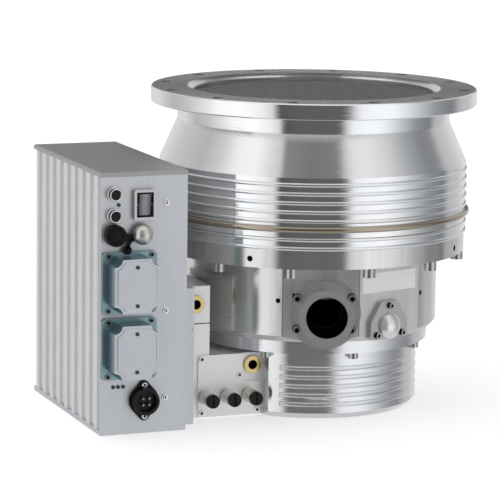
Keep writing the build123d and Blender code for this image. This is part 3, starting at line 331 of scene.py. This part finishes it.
speckled("pin_steel", (0.20, 0.20, 0.20), 0.30, 1.0, 700.0)
speckled("plate_steel", (0.60, 0.60, 0.59), 0.30, 0.9, 700.0, 0.00001)
speckled("bright_dome", (0.86, 0.86, 0.85), 0.24, 0.7, 700.0, 0.00001)
speckled("board", (0.03, 0.13, 0.06), 0.5, 0.0, 800.0)
speckled("lamp", (0.02, 0.02, 0.025), 0.25, 0.0, 1500.0)
print(len(finishes), "finishes")

# %% The zinc covers are passivated teal behind the front face, where painted shade also darkens them; the front face is greyer
cover_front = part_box("interface_covers")[0].y
x, y, z = zinc.parts(zinc.place())
teal_and_shade_behind = zinc.node("ShaderNodeMapRange", None, y,
                   From_Min=cover_front + 0.001, From_Max=cover_front + 0.002)
# the walls behind the front face take a darker teal: the passivation tint and painted shade together
zinc.set(Base_Color=zinc.blend(teal_and_shade_behind, zinc.tone, (0.22, 0.335, 0.37, 1.0)))

# %% The rocker: a painted highlight in one upright streak down its middle, darker towards its sides
rocker_low, rocker_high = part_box("power_rocker")
rocker_middle, rocker_half = (rocker_low.x + rocker_high.x) / 2, (rocker_high.x - rocker_low.x) / 2
x, y, z = window.parts(window.place())
off_middle = ((x - rocker_middle) / rocker_half).maths("ABSOLUTE")
window.shades(window.node("ShaderNodeMapRange", {"interpolation_type": "SMOOTHSTEP"},
                          off_middle, From_Min=0.75, From_Max=0.1), 0.35, 1.5)

# %% [markdown]
# ## Dressing the solids
#
# The record names a material slot for each solid piece. The loop below gives each slot its
# finish, and a short list holds the exceptions.

# %% Finishes for all solid pieces
slot_finish = {"ring_steel": "bright_ring", "bronze": "bronze_band", "shaft_steel": "ground_steel"}
node_finish = {
    "fore_vacuum_port": "port_metal", "purge_plate": "plate_steel", "purge_cap": "bright_dome",
    "service_connector": "nickel", "fuse_seats": "nickel", "power_pins": "pin_steel",
    # the bearing carrier, seen only down the bore, is painted matt black as painted shade
    "bearing_carrier": "painted_recess_shade", "water_fittings": "fitting_brass",
    "base_cylinder": "soft_turned",
}
for part in frame["record"]["subparts"]:
    name, slot = part["node"], part["material_slot"]
    finish = node_finish.get(name, slot_finish.get(slot, slot))
    node = frame["nodes"][name]
    node.data.materials.clear()
    node.data.materials.append(finishes[finish])
print("dressed", len(frame["nodes"]), "solid pieces")

# %% [markdown]
# ## Rings round an axis
#
# Screws, washers, bezels, caps and rings are all the same kind of form: a pile of rings round
# one axis, some of them round and some six-sided. One function makes such a pile: it starts
# from a circle and extrudes its edges, ring after ring, so that no two rings can be joined the
# wrong way. Each of these pieces is then a short list of (radius, height, corners, look), from
# the foot to the top, and the look picks one of the piece's finishes.

# %% Skin over a pile of rings
def share_at(angle, corners):
    """Share of its corner radius that a polygon reaches at an angle."""
    if corners == 0:
        return 1.0
    half = math.pi / corners
    return math.cos(half) / math.cos(angle % (2 * half) - half)


def extruded(mesh, edges, look=0):
    """Extrude edges where they are, and give the new points and the new edges."""
    grown = bmesh.ops.extrude_edge_only(mesh, edges=edges)["geom"]
    for part in grown:
        if isinstance(part, bmesh.types.BMFace):
            part.material_index = look
    return ([part for part in grown if isinstance(part, bmesh.types.BMVert)],
            [part for part in grown if isinstance(part, bmesh.types.BMEdge)])


def edges_round(mesh, circle):
    """The edges of a circle, in order."""
    return [mesh.edges.get((vert, circle[i - 1])) for i, vert in enumerate(circle)]


def add_rings(mesh, rings, centre, outward, sides=36, capped=True):
    outward = Vector(outward).normalized()
    across = Vector((0, 0, 1)).cross(outward)
    across = across.normalized() if across.length > 0.01 else Vector((1, 0, 0))
    upward = outward.cross(across)
    turned_to = Matrix((across, upward, outward)).transposed().to_4x4()
    circle = bmesh.ops.create_circle(mesh, segments=sides, radius=1)["verts"]
    foot = top = edges_round(mesh, circle)
    pile = []
    for level, (radius, height, corners, look) in enumerate(rings):
        if level:
            circle, top = extruded(mesh, top, look)
        for vert in circle:
            angle = math.atan2(vert.co.y, vert.co.x)
            reach = radius * share_at(angle, corners)
            vert.co = (reach * math.cos(angle), reach * math.sin(angle), height)
        pile += circle
    if capped:    # a new cap takes its neighbour's look, so its own is set afterwards
        for edges, look in ((foot, 0), (top, rings[-1][3])):
            for cap in bmesh.ops.contextual_create(mesh, geom=edges)["faces"]:
                cap.material_index = look
    placed = Matrix.Translation(centre) @ turned_to @ Matrix.Scale(MM, 4)
    bmesh.ops.transform(mesh, matrix=placed, verts=pile)


def finished(name, mesh, looks, body="root", stands_for=(), crease=35.0):
    """Turn a mesh in the frame into a piece with its finishes, riding on a body."""
    bmesh.ops.recalc_face_normals(mesh, faces=mesh.faces)
    data = bpy.data.meshes.new(name)
    mesh.to_mesh(data)
    mesh.free()
    data.shade_smooth()
    data.set_sharp_from_angle(angle=math.radians(crease))
    for look in looks:
        data.materials.append(finishes[look])
    piece = bpy.data.objects.new(name, data)
    bpy.context.scene.collection.objects.link(piece)
    if body:
        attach(piece, body)
    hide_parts(*stands_for)
    return piece


# %% Where the separate solids of a node are
def islands(node):
    """The lowest and highest corner of each separate solid of a CAD node."""
    data = frame["nodes"][node].data
    spots = [tuple(round(c, 6) for c in vertex.co) for vertex in data.vertices]
    leader = {spot: spot for spot in spots}

    def first(spot):
        while leader[spot] != spot:
            leader[spot] = leader[leader[spot]]
            spot = leader[spot]
        return spot

    for edge in data.edges:
        start, end = (first(spots[i]) for i in edge.vertices)
        leader[start] = end
    groups = {}
    for spot in leader:
        groups.setdefault(first(spot), []).append(spot)
    return [(Vector(map(min, zip(*group))), Vector(map(max, zip(*group))))
            for group in groups.values()]


def front_centre(low, high, back=False):
    """Centre of the front, or the back, of a box that faces -Y."""
    return Vector(((low.x + high.x) / 2, high.y if back else low.y, (low.z + high.z) / 2))


# %% [markdown]
# ## Screws with washers and sockets
#
# The solids give each small screw as a plain disc. Here a piece with a recessed hexagon takes
# the place of each, at the place and size of the disc that it stands for.

# %% Panel, cover and connection screws
FRONT = Vector((0, -1, 0))


def socket_head(radius, height, socket, edge=0.35):
    depth = 0.7 * height
    # look 1 paints the socket's walls and floor matt black as painted shade
    return [(radius, 0.0, 0, 0), (radius, height - edge, 0, 0), (radius - edge, height, 0, 0),
            (socket, height, 6, 0), (socket, height - depth, 6, 1)]


def washer_screw(radius, height):
    """A small socket head on a wide washer."""
    washer = 0.4 * height
    # look 1 paints a ring on the washer round the foot of the head, and the socket, matt black as
    # painted shade
    return [(radius, 0.0, 0, 0), (radius, 0.7 * washer, 0, 0), (radius - 0.3, washer, 0, 0),
            (0.70 * radius, washer, 0, 0), (0.60 * radius, washer, 0, 1),
            (0.56 * radius, height, 0, 0), (0.34 * radius, height, 6, 0),
            (0.34 * radius, washer, 6, 1)]


cover_screw_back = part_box("front_panel")[0].y - 0.5 * MM
washer_from, small_socket = 3.0, 1.7    # widest plain head, socket of the small heads
for node in ("panel_screws", "connection_screws"):
    mesh = bmesh.new()
    for low, high in islands(node):
        radius, height = (high.x - low.x) / 2 / MM, (high.y - low.y) / MM
        wide = radius > washer_from
        rings = washer_screw(radius, height) if wide else socket_head(radius, height, small_socket)
        if high.y < cover_screw_back:    # screws on the covers are dark, which is look 2
            rings = [(r, h, corners, look or 2) for r, h, corners, look in rings]
        add_rings(mesh, rings, front_centre(low, high, back=True), FRONT)
    finished(node + "_drilled", mesh, ["bright_dome", "painted_recess_shade", "pin_steel"],
             stands_for=[node])

mesh = bmesh.new()
for low, high in islands("port_screws"):
    middle = (low + high) / 2
    turn = side_turn if middle.x > 0 else -side_turn
    outward = Vector((math.sin(turn), -math.cos(turn), 0))
    radius = (high.z - low.z) / 2 / MM
    depth = ((high.y - low.y) / MM - 2 * radius * math.sin(side_turn)) / math.cos(side_turn)
    head = socket_head(radius, depth, 0.58 * radius, 0.4)
    # the sides of each head are painted matt black: painted shade in the gap round the head
    rings = [(r, h, corners, 1 if r == radius else look) for r, h, corners, look in head]
    add_rings(mesh, rings, middle - outward * depth * MM / 2, outward)
finished("port_screws_drilled", mesh, ["screw_steel", "painted_recess_shade"],
         stands_for=["port_screws"])
print("screws on panels, port and purge plate drilled")

# %% [markdown]
# ## Buttons
#
# Each button sits in a chrome bezel that is rounded like half a doughnut. The plunger's own
# bright rim rides on the plunger's body, so it goes in with it.

# %% Button bezels: two rounded chrome rings
bezel_half, bezel_crown, bezel_stretch = 1.05, 1.1, 1.6
mesh = bmesh.new()
for low, high in islands("button_bezels"):
    radius, height = (high.x - low.x) / 2 / MM, bezel_stretch * (high.y - low.y) / MM
    arc = [(radius - bezel_half + bezel_half * math.cos(math.radians(step)),
            height - bezel_crown + bezel_crown * math.sin(math.radians(step)))
           for step in range(0, 181, 30)]
    rings = [(radius, 0.0, 0, 0)] + [(r, h, 0, 0) for r, h in arc] + [(arc[-1][0], 0.0, 0, 0)]
    add_rings(mesh, rings, front_centre(low, high, back=True), FRONT, sides=48, capped=False)
finished("rounded_bezels", mesh, ["chrome"], stands_for=["button_bezels"],
         crease=60.0)

# %% Each plunger has a bright rim that moves with it
for button in ("start_button", "stop_button"):
    low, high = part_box(button)
    radius, rim = (high.x - low.x) / 2 / MM, 1.0
    mesh = bmesh.new()
    add_rings(mesh, [(radius, -1.2, 0, 0), (radius, -0.3, 0, 0), (radius - 0.3, 0.05, 0, 0),
                     (radius - rim + 0.2, 0.05, 0, 0), (radius - rim, -0.1, 0, 0)],
              front_centre(low, high), FRONT, sides=48, capped=False)
    finished(button + "_rim", mesh, ["chrome"], button, crease=60.0)

# %% [markdown]
# ## Dust cap and strap
#
# Both are moulded in black rubber. The cap pulls off, and the strap runs from the fixed
# connector to the cap as one mesh that rides on no body.

# %% Dust cap with a raised rim
low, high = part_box("dust_cap")
radius, reach = (high.x - low.x) / 2 / MM, (high.y - low.y) / MM
cap_wall, cap_top = 1.85, 3.2
mesh = bmesh.new()
add_rings(mesh, [
    (radius - cap_wall, reach - cap_top, 0, 0), (radius - cap_wall, 0.0, 0, 0),
    (radius, 0.0, 0, 0),
    (radius, reach - 1.6, 0, 0), (radius - 0.5, reach - 0.5, 0, 0), (radius - 1.5, reach, 0, 0),
    (radius - 3.2, reach, 0, 0), (radius - 3.8, reach - 0.9, 0, 0),
    (radius - 5.0, reach - 0.9, 0, 0), (radius - 5.6, reach - 0.3, 0, 0),
    (0.6, reach - 0.2, 0, 0)], front_centre(low, high, back=True), FRONT, sides=48)
finished("moulded_dust_cap", mesh, ["rubber"], "dust_cap", ["dust_cap"])

# %% The strap: an eye round the connector, a lobe with a plug, and two flat strips
cap_centre = front_centre(low, high, back=True)
low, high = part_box("dust_cap_strap")
thickness = (high.y - low.y) / MM
low_plug, high_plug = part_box("service_connector")
neck_centre = Vector(((low_plug.x + high_plug.x) / 2, high.y, (low_plug.z + high_plug.z) / 2))
eye_inside, eye_outside, lobe, plug, plug_height = 6.6, 8.8, 4.4, 1.8, 1.2
lobe_centre = Vector((low.x + lobe * MM, high.y, low.z + lobe * MM))
mesh = bmesh.new()
eye = [(eye_inside, 0.0, 0, 0), (eye_outside, 0.0, 0, 0), (eye_outside, thickness, 0, 0),
       (eye_inside, thickness, 0, 0), (eye_inside, 0.0, 0, 0)]
add_rings(mesh, eye, neck_centre, FRONT, sides=48, capped=False)
add_rings(mesh, [(lobe, 0.0, 0, 0), (lobe, thickness, 0, 0), (plug, thickness, 0, 0),
                 (plug, thickness + plug_height, 0, 0)], lobe_centre, FRONT)


def add_ribbon(mesh, points, widths, thickness):
    """A flat strip facing -Y along points, as wide as the widths at them."""
    steps = len(points) - 1
    sheet = bmesh.ops.create_grid(mesh, x_segments=steps, y_segments=1, size=0.5)["verts"]
    faces = list(dict.fromkeys(face for vert in sheet for face in vert.link_faces))
    grown = bmesh.ops.extrude_face_region(mesh, geom=faces)["geom"]
    front = [part for part in grown if isinstance(part, bmesh.types.BMVert)]
    for vert in sheet + front:
        i = round((vert.co.x + 0.5) * steps)
        along = points[min(i + 1, steps)] - points[max(i - 1, 0)]
        side = Vector((along.z, 0, -along.x)).normalized() * widths[i] * MM
        depth = 0 if vert in sheet else thickness
        vert.co = points[i] + side * vert.co.y + FRONT * depth * MM


def curve_through(start, bend, end, steps=10):
    """Points of a quadratic curve."""
    shares = [i / steps for i in range(steps + 1)]
    return [start * (1 - t) ** 2 + bend * 2 * t * (1 - t) + end * t ** 2 for t in shares]


elbow = neck_centre + Vector((-8.0, 0, -3.0)) * MM
bend = neck_centre + Vector((-15.0, 0, -4.0)) * MM
route = curve_through(elbow, bend, lobe_centre)
add_ribbon(mesh, route, [6.0 - 0.25 * i for i in range(len(route))], thickness)
cap_rim = cap_centre + Vector((9.0, 0, -2.5)) * MM
cap_rim.y = high.y
link = curve_through(elbow, (elbow + cap_rim) / 2, cap_rim)
add_ribbon(mesh, link, [6.5] * len(link), thickness)
strap = finished("moulded_strap", mesh, ["rubber"], None, ["dust_cap_strap"])
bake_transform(strap)
print("cap and strap moulded")

# %% [markdown]
# ## The inlet screen
#
# A screen keeps splinters off the blades. It is woven, so each wire goes over one and under the
# next. A wire needs only one ring of four points at each crossing, because the bend between two
# crossings is too small to see. All wires of one set grow together from their middles, a mirror
# gives their other halves, and the second set is a copy that is turned half round about the
# screen's diagonal, which puts it over where the first set is under.

# %% Woven screen: two sets of crimped wires
low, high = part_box("inlet_screen")
mesh_pitch, wire = 3.2 * MM, 0.9 * MM
screen_radius = (high.x - low.x) / 2 - wire
count = int(screen_radius / mesh_pitch)
reaches = {i: int(math.sqrt(screen_radius ** 2 - (i * mesh_pitch) ** 2) / mesh_pitch)
           for i in range(-count, count + 1)}
mesh = bmesh.new()
edges = []
for i in reaches:
    middle = Matrix.Translation((0, i * mesh_pitch, wire / 2 if i % 2 else -wire / 2))
    on_edge = middle @ Matrix.Rotation(math.radians(90), 4, "Y")
    edges += edges_round(mesh, bmesh.ops.create_circle(
        mesh, segments=4, radius=wire / 2, matrix=on_edge)["verts"])
for k in range(1, count + 1):
    edges = [edge for edge in edges if reaches[round(edge.verts[0].co.y / mesh_pitch)] >= k]
    ends, edges = extruded(mesh, edges)
    for vert in ends:
        over = (round(vert.co.y / mesh_pitch) + k) % 2
        vert.co += Vector((mesh_pitch, 0, wire if over else -wire))
bmesh.ops.mirror(mesh, geom=mesh.verts[:] + mesh.edges[:] + mesh.faces[:], axis="X",
                 merge_dist=0.01 * MM)
second = bmesh.ops.duplicate(mesh, geom=mesh.verts[:] + mesh.edges[:] + mesh.faces[:])["geom"]
bmesh.ops.rotate(mesh, matrix=Matrix.Rotation(math.pi, 3, Vector((1, 1, 0))),
                 verts=[part for part in second if isinstance(part, bmesh.types.BMVert)])
bmesh.ops.translate(mesh, vec=(0, 0, (low.z + high.z) / 2), verts=mesh.verts)
print("woven screen:", len(mesh.faces), "faces")
finished("woven_screen", mesh, ["screen_steel"],
         stands_for=["inlet_screen"], crease=80.0)

# %% [markdown]
# ## Dark holes
#
# A drilled hole shows black because no light comes back out of it. A small matt black disc near its
# mouth paints that shade with few faces, and a matt black sleeve of painted shade keeps the side
# port's wall from glinting.

# %% Painted shade: dark discs in the blind holes of the collar and the body, and a dark sleeve inside the side port
collar_hole, body_hole = 2.8, 2.3
collar_low, collar_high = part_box("base_housing")
collar_reach = (collar_high.x - collar_low.x) / 2
collar_level, body_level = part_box("inlet_housing")[0].z - 10 * MM, 0.124
mesh = bmesh.new()
for degrees, wall, height, radius in (
        (-45, collar_reach, collar_level, collar_hole), (45, collar_reach, collar_level, collar_hole),
        (-36.8, wall_radius, body_level, body_hole), (36.8, wall_radius, body_level, body_hole)):
    turn = math.radians(degrees)
    outward = Vector((math.sin(turn), -math.cos(turn), 0))
    add_rings(mesh, [(radius, -1.5, 0, 0), (radius, -0.9, 0, 0)],
              outward * wall + Vector((0, 0, height)), outward)
# a matt black sleeve with a ledge at its far end is painted shade down the side port
port_shade_radius, port_shade_ledge = port["dims"]["r_mm"] - 0.1, 3.4
port_shade_end = (flat_distance - math.hypot(*port["pos_m"][:2])) / MM + 0.3
add_rings(mesh, [(port_shade_radius - port_shade_ledge, port_shade_end, 0, 0), (port_shade_radius, port_shade_end, 0, 0),
                 (port_shade_radius, -0.8, 0, 0)], port["pos_m"], port["axis"], sides=72, capped=False)
finished("hole_shadows", mesh, ["painted_recess_shade"])

# %% [markdown]
# ## Thin trim
#
# The fuse caps turn in fixed metal sleeves. The pressed covers catch light along their edges,
# so a thin rod runs along each edge of their front faces: an edge that only one front face uses
# is such an outline. The body carries a plate, which is left bare, and two small screws hold the
# power socket by its ears.

# %% Nickel sleeves round the fuse caps
sleeve_wall, cap_head = 0.25, 4.6
panel_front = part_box("connection_panel")[0].y
mesh = bmesh.new()
for name in ("fuse_cap_left", "fuse_cap_middle", "fuse_cap_right"):
    low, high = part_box(name)
    radius = (high.x - low.x) / 2 / MM
    foot = front_centre(low, high)
    foot.y = panel_front
    length = (panel_front - low.y) / MM - cap_head
    add_rings(mesh, [(radius + sleeve_wall, 0.0, 0, 0), (radius + sleeve_wall, length - 0.4, 0, 0),
                     (radius + 0.02, length, 0, 0)], foot, FRONT, capped=False)
finished("fuse_sleeves", mesh, ["nickel"])

# %% Bright edge lines of the covers
edge_radius = 0.3
covers = frame["nodes"]["interface_covers"].data
uses = {}
for face in covers.polygons:
    if face.normal.y < -0.9 and face.center.y < cover_front + 0.0001:
        for key in face.edge_keys:
            ends = tuple(sorted(tuple(round(c, 6) for c in covers.vertices[i].co) for i in key))
            uses[ends] = uses.get(ends, 0) + 1
outline = [(Vector(start), Vector(end)) for (start, end), count in uses.items() if count == 1]
mesh = bmesh.new()
for start, end in outline:
    length = (end - start).length / MM
    start.y = start.y + edge_radius * MM
    rod = [(edge_radius, 0.0, 0, 0), (edge_radius, length, 0, 0)]
    add_rings(mesh, rod, start, end - start, sides=8)
finished("cover_edges", mesh, ["chrome"])
print(len(outline), "cover edges lined")

# %% The bare rating plate
plate_width, plate_height, plate_thickness = 0.070, 0.020, 0.0003
plate_level, plate_shift = 0.1405, -0.001
outward = Vector((math.sin(side_turn), -math.cos(side_turn), 0))
sideways = Vector((math.cos(side_turn), math.sin(side_turn), 0))
on_flat = Matrix((sideways, Vector((0, 0, 1)), outward)).transposed().to_4x4()
on_flat.translation = (outward * flat_distance + sideways * plate_shift
                       + Vector((0, 0, plate_level)))
mesh = bmesh.new()
bmesh.ops.create_grid(mesh, x_segments=1, y_segments=1, size=0.5)
bmesh.ops.scale(mesh, vec=(plate_width, plate_height, 1), verts=mesh.verts)
back = mesh.faces[:]
front = bmesh.ops.extrude_face_region(mesh, geom=back)["geom"]
bmesh.ops.delete(mesh, geom=[face for face in back if face.is_valid], context="FACES_ONLY")
bmesh.ops.translate(mesh, vec=(0, 0, plate_thickness),
                    verts=[part for part in front if isinstance(part, bmesh.types.BMVert)])
bmesh.ops.transform(mesh, matrix=on_flat, verts=mesh.verts)
finished("bare_rating_plate", mesh, ["block_metal"])

# %% Screws on the ears of the power socket
ear_distance, ear_thickness = 15.8 * MM, 3.0 * MM
low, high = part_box("power_socket")
middle = (low + high) / 2
mesh = bmesh.new()
for side in (-1, 1):
    ear = Vector((middle.x, high.y - ear_thickness, middle.z + side * ear_distance))
    add_rings(mesh, socket_head(2.9, 2.2, 1.4, 0.5), ear, FRONT)
finished("ear_screws", mesh, ["screw_steel", "painted_recess_shade"])
print("screws and recesses added")

# %% [markdown]
# ## Studio
#
# Polished metal shows nothing but its surroundings, so the studio is designed as a picture
# that surrounds the pump: tall soft boxes to both sides, a dim gap behind the camera, and a
# pale ceiling and floor. It is painted on the world by the direction's compass angle, which
# costs no lamps and no noise. The camera sees plain white instead.

# %% World: soft boxes by compass angle
camera_place = Vector((-1.11322, -2.68756, 0.64193))
facing = math.atan2(camera_place.y, camera_place.x)
world = bpy.data.worlds.new("studio")
bpy.context.scene.world = world
world.use_nodes = True
studio = Graph(world.node_tree)
x, y, z = studio.parts(studio.output(studio.node("ShaderNodeTexCoord"), "Generated"))
toward = x * math.cos(facing) + y * math.sin(facing)
aside = y * math.cos(facing) - x * math.sin(facing)
compass = aside.maths("ARCTAN2", toward) / (2 * math.pi) + 0.5


def compass_stops(levels):
    """Ramp stops from (degrees to the right of the camera, brightness) pairs."""
    return [((degrees + 180) / 360, (level, level * tint, level * tint * tint))
            for degrees, level, tint in levels]


low_band = compass_stops([
    (-180, 0.72, 1.0), (-140, 0.76, 1.0), (-116, 0.52, 1.0), (-100, 0.60, 1.0),
    (-82, 0.84, 1.0), (-70, 1.08, 1.0), (-50, 1.14, 1.0), (-36, 0.98, 1.0), (-27, 0.74, 1.0),
    (-25, 0.09, 1.0), (-14, 0.12, 1.0), (26, 0.125, 1.0), (28, 0.84, 1.01),
    (36, 1.02, 1.01), (56, 1.08, 1.01), (68, 0.86, 1.01), (80, 0.58, 1.02),
    (96, 0.31, 1.03), (118, 0.20, 1.03), (120, 0.48, 1.02), (142, 0.58, 1.0),
    (154, 0.75, 1.0), (180, 0.72, 1.0),
])
high_band = compass_stops([
    (-180, 0.10, 1.0), (-171, 0.14, 1.0), (-160, 0.75, 1.0), (-128, 0.60, 1.0),
    (-100, 0.50, 1.0), (-82, 0.66, 1.0), (-66, 0.98, 1.0), (-50, 1.02, 1.0), (-27, 0.62, 1.0),
    (-25, 0.26, 1.0), (0, 0.20, 1.0), (26, 0.24, 1.0), (28, 0.72, 1.0),
    (44, 0.90, 1.0), (66, 0.72, 1.0), (84, 0.42, 1.02), (104, 0.24, 1.03),
    (118, 0.28, 1.02), (121, 0.50, 1.01), (158, 0.75, 1.0), (169, 0.14, 1.0), (180, 0.10, 1.0),
])
low = studio.node("ShaderNodeValToRGB", {"stops": low_band}, compass)
high = studio.node("ShaderNodeValToRGB", {"stops": high_band}, compass)
climb = studio.node("ShaderNodeMapRange", {"interpolation_type": "SMOOTHSTEP"}, z,
                    From_Min=-0.02, From_Max=0.14)
wall = studio.blend(climb, low, high)
ceiling = studio.node("ShaderNodeMapRange", {"interpolation_type": "SMOOTHSTEP"}, z,
                      From_Min=0.72, From_Max=0.9)
dome = studio.blend(ceiling, wall, (0.95, 0.95, 0.95, 1.0))
fall = studio.node("ShaderNodeMapRange", {"interpolation_type": "SMOOTHSTEP"}, z,
                   From_Min=-0.35, From_Max=-0.75)
dome = studio.blend(fall, dome, (0.62, 0.62, 0.62, 1.0))
seen = studio.output(studio.node("ShaderNodeLightPath"), "Is Camera Ray")
backdrop = studio.blend(seen, dome, (1.0, 1.0, 1.0, 1.0))
background = world.node_tree.nodes["Background"]
studio.feed(background.inputs["Color"], backdrop)
print("world painted; camera stands at", round(math.degrees(facing), 1), "degrees")

# %% Floor: a wide pale disc
floor_mesh = bmesh.new()
bmesh.ops.create_circle(floor_mesh, cap_ends=True, segments=96, radius=14.0)
bmesh.ops.translate(floor_mesh, vec=(0, 0, -0.0004), verts=floor_mesh.verts)
floor_data = bpy.data.meshes.new("floor")
floor_mesh.to_mesh(floor_data)
floor_mesh.free()
floor = bpy.data.objects.new("floor", floor_data)
bpy.context.scene.collection.objects.link(floor)
floor_paint = Finish("floor_paint", (0.90, 0.90, 0.90), 0.9, Specular_IOR_Level=0.0,
                     Emission_Color=(1.0, 1.0, 1.0, 1.0), Emission_Strength=0.47)
floor.data.materials.append(floor_paint.material)
floor.visible_glossy = False

# %% Camera
camera_data = bpy.data.cameras.new("camera")
camera_data.lens, camera_data.sensor_width = 204.44, 36.0
camera_data.clip_start, camera_data.clip_end = 0.1, 60.0
camera = bpy.data.objects.new("camera", camera_data)
bpy.context.scene.collection.objects.link(camera)
right = Vector((0.932731, -0.360322, 0.013429)).normalized()
up = Vector((0.047293, 0.159174, 0.986117)).normalized()
back = right.cross(up).normalized()
camera.matrix_world = Matrix.Translation(camera_place) @ Matrix(
    (right, up, back)).transposed().to_4x4()
bpy.context.scene.camera = camera
bpy.context.scene.view_settings.view_transform = "Standard"
print("camera looks along", -back)
